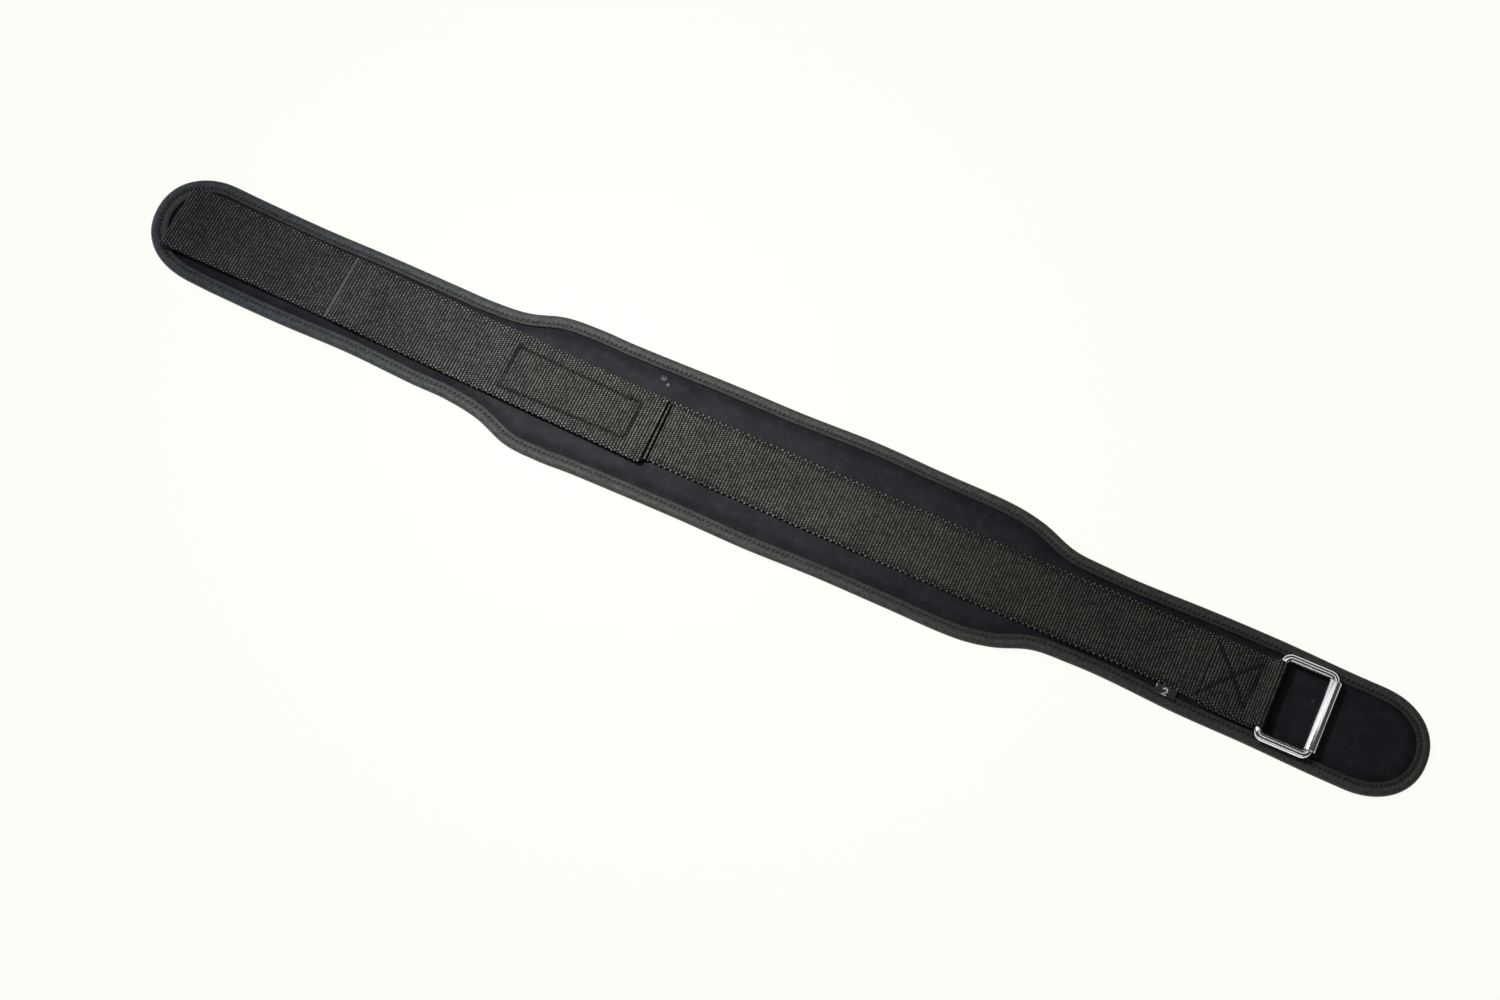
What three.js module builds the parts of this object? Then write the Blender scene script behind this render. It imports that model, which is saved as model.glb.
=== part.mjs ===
// A weightlifting belt: a padded body with a wider back, bound round its rim. A webbing strap is sewn
// along its outer face. At the right end the strap holds a wire buckle with a roller, and at the left
// end it folds back on itself and runs on as the fastening tail.
// Millimetres. +X runs along the belt to the buckle, +Y across it and +Z up. The origin is the middle
// of the belt's footprint, on the surface that the belt lies on.

import * as THREE from 'three';

// Overall form
const BELT_LENGTH = 926;
const BACK_WIDTH = 101.6;
const END_WIDTH = 74;
const END_ROUND = 44; // length of each rounded end
const END_POWER = 2.15; // 2 is an ellipse, more is squarer

// Clearance between touching pieces
const GAP = 0.3;

// Padded body
const PAD_THICKNESS = 8;
const RIM_THICKNESS = 3.3; // the rim is pressed thin inside the binding
const RIM_ROUND = 1.3;
const PAD_SHOULDER = { reach: 4, drop: 0.6 }; // from the binding, and below the full thickness
const PAD_CROWN = 9.4; // from the binding to the full thickness

// Binding tape, folded over the rim
const BINDING_WIDTH = 9.6;
const BINDING_WALL = 1.2;
const BINDING_ROUND = 3; // how far in the rounded edge reaches
const SEAM = { inset: 6.2, width: 1.8, depth: 0.35 }; // the groove that its stitches pull in

// Webbing of the strap, and of the tail that is lapped on it
const WEBBING = 1.5; // thickness
const STRAP_WIDTH = 47.4;
const SEWN_WIDTH = 45.6; // drawn in where it is sewn down
const TAIL_WIDTH = 48.5;

// Buckle: a ring of wire, with a roller on its far bar
const WIRE_DIAMETER = 5.5;
const BUCKLE_REACH = 35; // between the middles of its two bars
const BUCKLE_ROOM = 3.5; // how much wider than the strap it is inside
const BUCKLE_CORNER = 4.5; // of the wire's middle line
const BUCKLE_YAW = 0.5; // degrees
const BUCKLE_SETBACK = 109.3; // from the belt's right tip to the strap's bar
const BUCKLE_SIDE = -2.1; // side step of the middle of the strap's bar
const BAR_CLEARANCE = 0.6; // between the bar and the strap round it
const ROLLER_CLEARANCE = 0.65;
const ROLLER_WALL = 1.45;
const ROLLER_ROOM = 1.1; // how much shorter the roller is than the buckle is wide inside
const ROLLER_EDGE = 0.4;

// Strap end that comes off the bar and returns beneath the strap
const RETURN_LENGTH = 47.9; // from the bar
const BAR_JOIN = 12.7; // from the bar to where both layers meet
const RETURN_DROP = 9; // over which the upper layer comes down past the end of the lower one
const LOOP_WRAP = 210; // degrees of the bar that the strap hugs, from below it

// Fold at the left end, and the first stretch of the tail
const FOLD_SETBACK = 17.2; // from the belt's left tip
const FOLD_HEIGHT = 6; // outside
const FOLD_SKEW = 5; // degrees
const LAP_FROM_FOLD = 124.5; // to the left edge of the lapped tail
const LAP_LENGTH = 17;

// Tail, from its lapped end to its tip, and the closing patch beneath it
const TAIL_LENGTH = 234.8;
const TAIL_SKEW = { lap: 2.9, tip: 1.3 }; // degrees
const TAIL_SIDE = { lap: 1.7, tip: -4 }; // side steps of its middle line
const TAIL_RAMP = 18; // over which the tail rises or falls by a layer
const PATCH_LENGTH = 112;
const PATCH_WIDTH = 44;
const PATCH_THICKNESS = 1.6;
const PATCH_SHOWING = 2.8; // past the tail's tip
const PATCH_SIDE = -3;

// Size label, tucked against the strap's near edge
const LABEL_SETBACK = 173; // from the belt's right tip to its middle
const LABEL_WIDTH = 14.6;
const LABEL_REACH = 5.8;
const LABEL_THICKNESS = 1;

// The belt's form from its left end to its right. at is a share of half the length, flare is 0 at the
// end width and 1 at the back width, and sway is the middle line's side step in end widths.
const BELT_FORM = [
  { at: -1, flare: 0, sway: 0.04 },
  { at: -0.93, flare: 0, sway: 0.037 },
  { at: -0.864, flare: 0.01, sway: 0.019 },
  { at: -0.756, flare: 0, sway: 0.004 },
  { at: -0.648, flare: -0.01, sway: 0.01 },
  { at: -0.54, flare: 0.05, sway: -0.007 },
  { at: -0.486, flare: 0.06, sway: -0.01 },
  { at: -0.432, flare: 0.27, sway: -0.02 },
  { at: -0.378, flare: 0.86, sway: -0.027 },
  { at: -0.324, flare: 0.98, sway: -0.024 },
  { at: -0.27, flare: 0.93, sway: -0.018 },
  { at: -0.108, flare: 0.96, sway: -0.002 },
  { at: 0, flare: 0.99, sway: -0.002 },
  { at: 0.108, flare: 1, sway: 0.0202 },
  { at: 0.216, flare: 0.97, sway: 0.014 },
  { at: 0.324, flare: 0.94, sway: 0.01 },
  { at: 0.378, flare: 0.64, sway: 0.012 },
  { at: 0.432, flare: 0, sway: 0.015 },
  { at: 0.486, flare: -0.13, sway: 0.015 },
  { at: 0.54, flare: -0.15, sway: 0.013 },
  { at: 0.648, flare: -0.02, sway: 0.006 },
  { at: 0.756, flare: 0, sway: 0.004 },
  { at: 0.864, flare: 0, sway: -0.013 },
  { at: 1, flare: 0, sway: -0.012 },
];

// The strap's form from the fold to the bar. at is a share of that run, side is the middle line's side
// step in strap widths, lean is its skew as a share of the fold's, and drawn is 1 where the strap is
// drawn in to its sewn width. At the bar it is square to the buckle.
const STRAP_FORM = [
  { at: 0, side: 0.061, lean: 1, drawn: 0 },
  { at: 0.06, side: 0.053, lean: 0.7, drawn: 0 },
  { at: 0.155, side: 0.036, lean: 0.6, drawn: 0 },
  { at: 0.2, side: 0.026, lean: 0.1, drawn: 1 },
  { at: 0.5, side: -0.03, lean: 0, drawn: 1 },
  { at: 0.75, side: -0.037, lean: -0.08, drawn: 1 },
  { at: 0.9, side: -0.01, lean: -0.2, drawn: 1 },
  { at: 0.965, side: -0.036, lean: -0.3, drawn: 0.2 },
  { at: 1, side: -0.038, lean: -BUCKLE_YAW / FOLD_SKEW, drawn: 0 },
];

// How finely the shapes are cut
const STEPS_PER_ROW = 2;
const END_STEPS = 8;
const EDGE_STEPS = 4;
const LEVEL_STEP = 30; // millimetres
const BEND_STEPS = 6;
const LOOP_STEPS = 14;
const WIRE_SIDES = 12;
const CORNER_STEPS = 5;
const ROLLER_SIDES = 32;
const LABEL_STEPS = 3;

// Heights of the webbing's middle: on the pad, on one layer, on the first stretch of the tail and on
// the patch
const FLOOR_OF_STRAP = PAD_THICKNESS + GAP;
const LAYER = WEBBING + GAP;
const ON_PAD = FLOOR_OF_STRAP + WEBBING / 2;
const ON_STRAP = ON_PAD + LAYER;
const ON_LAP = ON_STRAP + LAYER;
const PATCH_Z = FLOOR_OF_STRAP + LAYER + PATCH_THICKNESS / 2;
const ON_PATCH = PATCH_Z + PATCH_THICKNESS / 2 + GAP + WEBBING / 2;

// Other sizes and places worked out from the ones above
const HALF_LENGTH = BELT_LENGTH / 2;
const BINDING_HEIGHT = RIM_THICKNESS + 2 * (BINDING_WALL + GAP);
const BAR_RADIUS = WIRE_DIAMETER / 2;
const BUCKLE_INSIDE = STRAP_WIDTH + BUCKLE_ROOM;
const LOOP_RADIUS = BAR_RADIUS + BAR_CLEARANCE + WEBBING / 2;
const ROLLER_BORE = BAR_RADIUS + ROLLER_CLEARANCE;
const ROLLER_RADIUS = ROLLER_BORE + ROLLER_WALL;
const BAR_X = HALF_LENGTH - BUCKLE_SETBACK;
const JOIN_X = BAR_X - BAR_JOIN;
const RETURN_X = BAR_X - RETURN_LENGTH;
const LANDING_X = RETURN_X - RETURN_DROP;
const BUCKLE_Z = FLOOR_OF_STRAP + Math.max(WEBBING / 2 + LOOP_RADIUS, ROLLER_RADIUS);
const FOLD_RADIUS = (FOLD_HEIGHT - WEBBING) / 2;
const FOLD_X = -HALF_LENGTH + FOLD_SETBACK + FOLD_HEIGHT / 2;
const LAP_X = -HALF_LENGTH + FOLD_SETBACK + LAP_FROM_FOLD;
const TIP_X = LAP_X + TAIL_LENGTH;
const PATCH_X = TIP_X + PATCH_SHOWING - PATCH_LENGTH;

const radians = THREE.MathUtils.degToRad;
const mix = THREE.MathUtils.lerp;

// A column of a form table at a place along it, on a smooth curve through the rows
function formAt(rows, column, at) {
  const last = rows.length - 1;
  const found = rows.findIndex((row) => row.at >= at);
  const i = THREE.MathUtils.clamp(found < 0 ? last : found, 1, last) - 1;
  const span = rows[i + 1].at - rows[i].at;
  const t = THREE.MathUtils.clamp((at - rows[i].at) / span, 0, 1);
  const slope = (from, to) => (rows[to][column] - rows[from][column]) / (rows[to].at - rows[from].at);
  const leaving = slope(Math.max(i - 1, 0), i + 1) * span;
  const arriving = slope(i, Math.min(i + 2, last)) * span;
  const straight = mix(rows[i][column], rows[i + 1][column], t * t * (3 - 2 * t));
  return straight + t * (1 - t) * (leaving * (1 - t) - arriving * t);
}

// Half width and middle line of the belt at x, before its ends are rounded
function halfWidthAt(x) {
  return mix(END_WIDTH, BACK_WIDTH, formAt(BELT_FORM, 'flare', x / HALF_LENGTH)) / 2;
}

function middleAt(x) {
  return END_WIDTH * formAt(BELT_FORM, 'sway', x / HALF_LENGTH);
}

// Places along the belt, left to right, with the share of the width that the rounded ends leave
function stations() {
  const straight = HALF_LENGTH - END_ROUND;
  const rightEnd = [];
  for (let step = 0; step <= END_STEPS; step += 1) {
    const turn = ((step / END_STEPS) * Math.PI) / 2;
    const x = straight + END_ROUND * Math.sin(turn) ** (2 / END_POWER);
    rightEnd.push({ x, share: step === END_STEPS ? 0 : Math.cos(turn) ** (2 / END_POWER) });
  }
  const leftEnd = rightEnd.map(({ x, share }) => ({ x: -x, share })).reverse();
  const between = [];
  for (let row = 1; row < BELT_FORM.length; row += 1) {
    for (let step = 0; step < STEPS_PER_ROW; step += 1) {
      const x = HALF_LENGTH * mix(BELT_FORM[row - 1].at, BELT_FORM[row].at, step / STEPS_PER_ROW);
      if (Math.abs(x) < straight - END_ROUND / END_STEPS) between.push({ x, share: 1 });
    }
  }
  return [...leftEnd, ...between, ...rightEnd];
}

// The belt's outline, anticlockwise seen from above, with the outward direction at each point
function beltOutline() {
  const places = stations();
  const onSide = (sign) => ({ x, share }) =>
    new THREE.Vector2(x, middleAt(x) + sign * halfWidthAt(x) * share);
  const near = places.map(onSide(-1));
  const far = places.slice(1, -1).reverse().map(onSide(1));
  const points = [...near, ...far];
  return points.map((point, i) => {
    const before = points[(i + points.length - 1) % points.length];
    const after = points[(i + 1) % points.length];
    const along = after.clone().sub(before).normalize();
    return { point, outward: new THREE.Vector2(along.y, -along.x) };
  });
}

// The outline moved in by a distance, at a height
function ringAt(outline, { inset, z }) {
  return outline.map(({ point, outward }) => {
    const moved = point.clone().addScaledVector(outward, -inset);
    return new THREE.Vector3(moved.x, moved.y, z);
  });
}

// Triangles that fill a ring of points, turning the way that the ring does
function fill(ring) {
  const facing = new THREE.Vector3();
  ring.forEach((point, i) => {
    const next = ring[(i + 1) % ring.length];
    facing.add(new THREE.Vector3().crossVectors(point, next));
  });
  const sizes = facing.toArray().map(Math.abs);
  const drop = sizes.indexOf(Math.max(...sizes));
  const flat = ring.map((point) => new THREE.Vector2(...point.toArray().toSpliced(drop, 1)));
  if (THREE.ShapeUtils.isClockWise(flat)) {
    flat.forEach((point) => point.set(point.y, point.x));
  }
  return THREE.ShapeUtils.triangulateShape(flat, []);
}

// A closed body through rings of equally many points, which are joined into a loop or else filled at
// the first and the last
function loft(rings, joined) {
  const count = rings[0].length;
  const faces = [];
  for (let band = 0; band < rings.length - (joined ? 0 : 1); band += 1) {
    const low = band * count;
    const high = ((band + 1) % rings.length) * count;
    for (let i = 0; i < count; i += 1) {
      const next = (i + 1) % count;
      faces.push([low + i, low + next, high + next], [low + i, high + next, high + i]);
    }
  }
  if (!joined) {
    const top = (rings.length - 1) * count;
    fill(rings[0]).forEach(([a, b, c]) => faces.push([a, c, b]));
    fill(rings.at(-1)).forEach(([a, b, c]) => faces.push([top + a, top + b, top + c]));
  }
  const points = rings.flat();
  const volume = faces.reduce((sum, [a, b, c]) => {
    const across = new THREE.Vector3().crossVectors(points[b], points[c]);
    return sum + points[a].dot(across);
  }, 0);
  const facingOut = volume < 0 ? faces.map(([a, b, c]) => [a, c, b]) : faces;
  const geometry = new THREE.BufferGeometry().setFromPoints(points);
  geometry.setIndex(facingOut.flat());
  geometry.computeVertexNormals();
  return geometry;
}

// A flat ribbon along curves in the XZ plane, each with its number of steps. formAtX gives its side
// step, skew and width at x.
function ribbon(runs, thickness, formAtX) {
  const rings = [];
  runs.forEach(({ curve, steps }, order) => {
    for (let step = order === 0 ? 0 : 1; step <= steps; step += 1) {
      const place = curve.getPoint(step / steps);
      const along = curve.getTangent(step / steps);
      const { side, skew, width } = formAtX(place.x);
      const middle = new THREE.Vector3(place.x, side, place.y);
      const across = new THREE.Vector3(Math.sin(radians(skew)), Math.cos(radians(skew)), 0);
      const through = new THREE.Vector3(-along.y, 0, along.x);
      const corner = (acrossSign, throughSign) =>
        middle
          .clone()
          .addScaledVector(across, (acrossSign * width) / 2)
          .addScaledVector(through, (throughSign * thickness) / 2);
      rings.push([corner(1, 1), corner(-1, 1), corner(-1, -1), corner(1, -1)]);
    }
  });
  return loft(rings, false);
}

// A straight run between two places
function straightRun(fromX, fromZ, toX, toZ) {
  const curve = new THREE.LineCurve(new THREE.Vector2(fromX, fromZ), new THREE.Vector2(toX, toZ));
  return { curve, steps: Math.ceil(curve.getLength() / LEVEL_STEP) };
}

// A run that leaves and arrives level, at another height
function rampRun(fromX, fromZ, toX, toZ) {
  const middle = (fromX + toX) / 2;
  const curve = new THREE.CubicBezierCurve(
    new THREE.Vector2(fromX, fromZ),
    new THREE.Vector2(middle, fromZ),
    new THREE.Vector2(middle, toZ),
    new THREE.Vector2(toX, toZ),
  );
  return { curve, steps: BEND_STEPS };
}

// Part of a circle, from straight below its middle
function arcRun(x, z, radius, degrees, clockwise) {
  const start = -Math.PI / 2;
  const end = start + radians(clockwise ? -degrees : degrees);
  const curve = new THREE.EllipseCurve(x, z, radius, radius, start, end, clockwise);
  return { curve, steps: LOOP_STEPS };
}

// The strap's side step, skew and width at x
function strapFormAt(x) {
  const at = (x - FOLD_X) / (BAR_X - FOLD_X);
  return {
    side: STRAP_WIDTH * formAt(STRAP_FORM, 'side', at),
    skew: FOLD_SKEW * formAt(STRAP_FORM, 'lean', at),
    width: mix(STRAP_WIDTH, SEWN_WIDTH, formAt(STRAP_FORM, 'drawn', at)),
  };
}

// Foam body between its two faces, with its rim pressed thin
function padGeometry(outline) {
  const rimIn = BINDING_WALL + GAP;
  const rimLow = BINDING_WALL + GAP;
  const rimHigh = rimLow + RIM_THICKNESS;
  const middle = (rimLow + rimHigh) / 2;
  const flat = RIM_THICKNESS / 2 - RIM_ROUND;
  const bound = BINDING_WIDTH + GAP;
  const shoulder = BINDING_WIDTH + PAD_SHOULDER.reach;
  const crown = BINDING_WIDTH + PAD_CROWN;
  const profile = [
    { inset: crown, z: 0 },
    { inset: shoulder, z: PAD_SHOULDER.drop / 2 },
    { inset: bound, z: rimLow },
    { inset: rimIn + RIM_ROUND, z: rimLow },
    { inset: rimIn, z: middle - flat },
    { inset: rimIn, z: middle + flat },
    { inset: rimIn + RIM_ROUND, z: rimHigh },
    { inset: bound, z: rimHigh },
    { inset: shoulder, z: PAD_THICKNESS - PAD_SHOULDER.drop },
    { inset: crown, z: PAD_THICKNESS },
  ];
  return loft(profile.map((place) => ringAt(outline, place)), false);
}

// Tape folded over the rim: a rounded outer wall, a stitched groove on top, and the hollow for the rim
function bindingGeometry(outline) {
  const middle = BINDING_HEIGHT / 2;
  const halfRound = (wall, sign) => {
    const places = [];
    for (let step = 0; step <= EDGE_STEPS; step += 1) {
      const turn = sign * Math.PI * (step / EDGE_STEPS - 0.5);
      places.push({
        inset: BINDING_ROUND - (BINDING_ROUND - wall) * Math.cos(turn),
        z: middle + (middle - wall) * Math.sin(turn),
      });
    }
    return places;
  };
  const groove = [
    { inset: SEAM.inset - SEAM.width / 2, z: BINDING_HEIGHT },
    { inset: SEAM.inset, z: BINDING_HEIGHT - SEAM.depth },
    { inset: SEAM.inset + SEAM.width / 2, z: BINDING_HEIGHT },
  ];
  const section = [
    { inset: BINDING_WIDTH, z: 0 },
    ...halfRound(0, 1),
    ...groove,
    { inset: BINDING_WIDTH, z: BINDING_HEIGHT },
    { inset: BINDING_WIDTH, z: BINDING_HEIGHT - BINDING_WALL },
    ...halfRound(BINDING_WALL, -1),
    { inset: BINDING_WIDTH, z: BINDING_WALL },
  ];
  return loft(section.map((place) => ringAt(outline, place)), true);
}

// The strap is one length of webbing, made here in three stretches: the end that is doubled round the
// buckle's bar, the run that is sewn along the pad, and the fold with the first stretch of the tail
function buckleLoopGeometry() {
  const loop = arcRun(BAR_X, BUCKLE_Z, LOOP_RADIUS, LOOP_WRAP, false);
  const offBar = loop.curve.getPoint(1);
  const offBarWay = loop.curve.getTangent(1);
  const reach = (offBar.x - JOIN_X) / 2;
  const ontoStrap = new THREE.CubicBezierCurve(
    offBar,
    offBar.clone().addScaledVector(offBarWay, reach),
    new THREE.Vector2(JOIN_X + reach, ON_STRAP),
    new THREE.Vector2(JOIN_X, ON_STRAP),
  );
  const runs = [
    straightRun(RETURN_X, ON_PAD, JOIN_X, ON_PAD),
    rampRun(JOIN_X, ON_PAD, BAR_X, BUCKLE_Z - LOOP_RADIUS),
    loop,
    { curve: ontoStrap, steps: BEND_STEPS },
    straightRun(JOIN_X, ON_STRAP, RETURN_X - GAP, ON_STRAP),
    rampRun(RETURN_X - GAP, ON_STRAP, LANDING_X, ON_PAD),
  ];
  return ribbon(runs, WEBBING, strapFormAt);
}

function sewnRunGeometry() {
  const runs = [straightRun(FOLD_X + GAP, ON_PAD, LANDING_X - GAP, ON_PAD)];
  return ribbon(runs, WEBBING, strapFormAt);
}

function foldGeometry() {
  const runs = [
    arcRun(FOLD_X, ON_PAD + FOLD_RADIUS, FOLD_RADIUS, 180, true),
    rampRun(FOLD_X, ON_PAD + 2 * FOLD_RADIUS, LAP_X, ON_STRAP),
    straightRun(LAP_X, ON_STRAP, LAP_X + LAP_LENGTH, ON_STRAP),
  ];
  return ribbon(runs, WEBBING, strapFormAt);
}

// Loose end of the strap, lapped on its first stretch and running over the closing patch
function tailGeometry() {
  const lapEnd = LAP_X + LAP_LENGTH + LAYER;
  const runs = [
    straightRun(LAP_X, ON_LAP, lapEnd, ON_LAP),
    rampRun(lapEnd, ON_LAP, lapEnd + TAIL_RAMP, ON_STRAP),
    straightRun(lapEnd + TAIL_RAMP, ON_STRAP, PATCH_X - TAIL_RAMP, ON_STRAP),
    rampRun(PATCH_X - TAIL_RAMP, ON_STRAP, PATCH_X - LAYER, ON_PATCH),
    straightRun(PATCH_X - LAYER, ON_PATCH, TIP_X, ON_PATCH),
  ];
  const formAtX = (x) => {
    const share = (x - LAP_X) / TAIL_LENGTH;
    return {
      side: mix(TAIL_SIDE.lap, TAIL_SIDE.tip, share),
      skew: mix(TAIL_SKEW.lap, TAIL_SKEW.tip, share),
      width: TAIL_WIDTH,
    };
  };
  return ribbon(runs, WEBBING, formAtX);
}

function patchGeometry() {
  const runs = [straightRun(PATCH_X, PATCH_Z, PATCH_X + PATCH_LENGTH, PATCH_Z)];
  return ribbon(runs, PATCH_THICKNESS, () => ({ side: PATCH_SIDE, skew: 0, width: PATCH_WIDTH }));
}

// Label that hangs from the strap's near edge over the binding
function labelGeometry() {
  const x = HALF_LENGTH - LABEL_SETBACK;
  const strapEdge = (place) => strapFormAt(place).side - strapFormAt(place).width / 2;
  const start = Math.min(strapEdge(x - LABEL_WIDTH / 2), strapEdge(x + LABEL_WIDTH / 2)) - GAP;
  const rings = [];
  for (let step = 0; step <= LABEL_STEPS; step += 1) {
    const t = step / LABEL_STEPS;
    const y = start - LABEL_REACH * t;
    const low = mix(FLOOR_OF_STRAP, BINDING_HEIGHT + GAP, t);
    const corner = (sign, lift) => new THREE.Vector3(x + (sign * LABEL_WIDTH) / 2, y, low + lift);
    const lift = LABEL_THICKNESS;
    rings.push([corner(-1, 0), corner(1, 0), corner(1, lift), corner(-1, lift)]);
  }
  return loft(rings, false);
}

// Ring of round wire in the XY plane, with the middle of the strap's bar at the origin
function buckleFrameGeometry() {
  const halfSpan = BUCKLE_INSIDE / 2 + BAR_RADIUS;
  const corners = [
    { x: BUCKLE_REACH - BUCKLE_CORNER, y: -halfSpan + BUCKLE_CORNER, start: -90 },
    { x: BUCKLE_REACH - BUCKLE_CORNER, y: halfSpan - BUCKLE_CORNER, start: 0 },
    { x: BUCKLE_CORNER, y: halfSpan - BUCKLE_CORNER, start: 90 },
    { x: BUCKLE_CORNER, y: -halfSpan + BUCKLE_CORNER, start: 180 },
  ];
  const rings = [];
  corners.forEach(({ x, y, start }) => {
    for (let step = 0; step <= CORNER_STEPS; step += 1) {
      const turn = radians(start + (90 * step) / CORNER_STEPS);
      const out = new THREE.Vector3(Math.cos(turn), Math.sin(turn), 0);
      const middle = new THREE.Vector3(x, y, 0).addScaledVector(out, BUCKLE_CORNER);
      const ring = [];
      for (let side = 0; side < WIRE_SIDES; side += 1) {
        const angle = (2 * Math.PI * side) / WIRE_SIDES;
        const point = middle.clone().addScaledVector(out, BAR_RADIUS * Math.cos(angle));
        ring.push(point.setZ(BAR_RADIUS * Math.sin(angle)));
      }
      rings.push(ring);
    }
  });
  return loft(rings, true);
}

// Tube that turns on the far bar, along Y
function rollerGeometry() {
  const half = (BUCKLE_INSIDE - ROLLER_ROOM) / 2;
  const profile = [
    new THREE.Vector2(ROLLER_BORE, -half),
    new THREE.Vector2(ROLLER_RADIUS - ROLLER_EDGE, -half),
    new THREE.Vector2(ROLLER_RADIUS, -half + ROLLER_EDGE),
    new THREE.Vector2(ROLLER_RADIUS, half - ROLLER_EDGE),
    new THREE.Vector2(ROLLER_RADIUS - ROLLER_EDGE, half),
    new THREE.Vector2(ROLLER_BORE, half),
    new THREE.Vector2(ROLLER_BORE, -half),
  ];
  return new THREE.LatheGeometry(profile, ROLLER_SIDES);
}

const PAD_CLOTH = { color: 0x1e1d24, roughness: 0.95, metalness: 0 };
const BINDING_TAPE = { color: 0x2a2d2b, roughness: 0.85, metalness: 0 };
const WEBBING_WEAVE = { color: 0x2f312b, roughness: 0.9, metalness: 0 };
const LABEL_SATIN = { color: 0x34343c, roughness: 0.6, metalness: 0 };
const BRIGHT_STEEL = { color: 0xd6dbdd, roughness: 0.2, metalness: 1 };

function piece(name, geometry, finish) {
  const mesh = new THREE.Mesh(geometry, new THREE.MeshStandardMaterial(finish));
  mesh.name = name;
  return mesh;
}

function buckle() {
  const group = new THREE.Group();
  const roller = piece('buckle_roller', rollerGeometry(), BRIGHT_STEEL);
  roller.position.x = BUCKLE_REACH;
  group.add(piece('buckle_frame', buckleFrameGeometry(), BRIGHT_STEEL), roller);
  group.position.set(BAR_X, BUCKLE_SIDE, BUCKLE_Z);
  group.rotation.z = radians(BUCKLE_YAW);
  return group;
}

function weightliftingBelt() {
  const outline = beltOutline();
  const belt = new THREE.Group();
  belt.add(piece('pad', padGeometry(outline), PAD_CLOTH));
  belt.add(piece('binding', bindingGeometry(outline), BINDING_TAPE));
  belt.add(piece('buckle_loop', buckleLoopGeometry(), WEBBING_WEAVE));
  belt.add(piece('back_strap', sewnRunGeometry(), WEBBING_WEAVE));
  belt.add(piece('tail_fold', foldGeometry(), WEBBING_WEAVE));
  belt.add(piece('tail_strap', tailGeometry(), WEBBING_WEAVE));
  belt.add(piece('tail_patch', patchGeometry(), WEBBING_WEAVE));
  belt.add(piece('size_label', labelGeometry(), LABEL_SATIN));
  belt.add(buckle());
  return belt;
}

export default weightliftingBelt();
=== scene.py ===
"""A padded weightlifting belt on a pale floor, with its sewn strap, fastening tail and roller buckle.

Sizes and tables are in millimetres, angles in degrees, and the meshes are made in metres. +X runs along
the belt to the buckle, +Y across it, away from the viewer, and +Z up.
"""

import math

import bpy
import numpy as np
from mathutils import Matrix, Vector


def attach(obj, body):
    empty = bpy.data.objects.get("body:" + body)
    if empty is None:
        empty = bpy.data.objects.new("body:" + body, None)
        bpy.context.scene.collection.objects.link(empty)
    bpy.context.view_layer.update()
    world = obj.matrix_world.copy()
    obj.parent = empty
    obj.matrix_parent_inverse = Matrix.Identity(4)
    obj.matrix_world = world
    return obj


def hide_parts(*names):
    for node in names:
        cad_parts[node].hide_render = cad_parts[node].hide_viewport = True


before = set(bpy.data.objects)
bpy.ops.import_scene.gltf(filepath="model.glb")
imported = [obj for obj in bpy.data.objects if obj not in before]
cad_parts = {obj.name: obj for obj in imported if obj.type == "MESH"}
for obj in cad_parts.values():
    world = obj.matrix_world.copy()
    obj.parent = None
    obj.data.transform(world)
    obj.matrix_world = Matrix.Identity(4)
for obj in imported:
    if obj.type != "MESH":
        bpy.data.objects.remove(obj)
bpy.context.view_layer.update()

MM = 0.001

# Belt and its padded body
BELT_LENGTH = 926
BACK_WIDTH = 101.6
END_WIDTH = 74
END_ROUND = 44
END_POWER = 2.15
GAP = 0.3
PAD_THICKNESS = 8
RIM_THICKNESS = 3.3
PAD_CROWN = 9.4  # from the binding to the pad's full thickness

# Binding tape
BINDING_WIDTH = 9.6
BINDING_WALL = 1.2
SEAM_INSET = 6.2
SEAM_DEPTH = 1.1
RIB_PITCH = 1.3
RIB_HEIGHT = 0.26
RIB_SLANT = 0.5  # how far a rib moves along the rim for each millimetre across the tape

# Webbing
WEBBING = 1.5
STRAP_WIDTH = 47.4
SEWN_WIDTH = 45.6
TAIL_WIDTH = 48.5
COLUMN = 2.08  # pitch of the ribs that run across it
GRAIN = 1.56  # pitch of the grains in a rib
GRAIN_HEIGHT = 0.36
SELVEDGE = 2.5  # length of the grains at its two edges

# Buckle
WIRE_DIAMETER = 5.5
BUCKLE_REACH = 35
BUCKLE_ROOM = 3.5
BUCKLE_CORNER = 4.5
BUCKLE_YAW = 0.5
BUCKLE_SETBACK = 109.3
BUCKLE_SIDE = -2.1
BAR_CLEARANCE = 0.6
ROLLER_CLEARANCE = 0.65
ROLLER_WALL = 1.45
ROLLER_ROOM = 1.1

# Strap end round the buckle's bar
RETURN_LENGTH = 47.9
BAR_JOIN = 12.7
RETURN_DROP = 9
LOOP_WRAP = 210

STEP_FOOT = 306.6  # where the upper layer starts to climb the lower one
STEP_TOP = 311

# Fold at the left end, tail and closing patch
FOLD_SETBACK = 17.2
FOLD_HEIGHT = 6
FOLD_SKEW = 5
LAP_FROM_FOLD = 124.5
LAP_LENGTH = 17
TAIL_LENGTH = 234.8
TAIL_SKEW = {"lap": 2.9, "tip": 1.3}
TAIL_SIDE = {"lap": 1.7, "tip": -4}
TAIL_RAMP = 18
PATCH_LENGTH = 112
PATCH_WIDTH = 44
PATCH_THICKNESS = 1.6
PATCH_SHOWING = 2.8
PATCH_SIDE = -3

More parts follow.
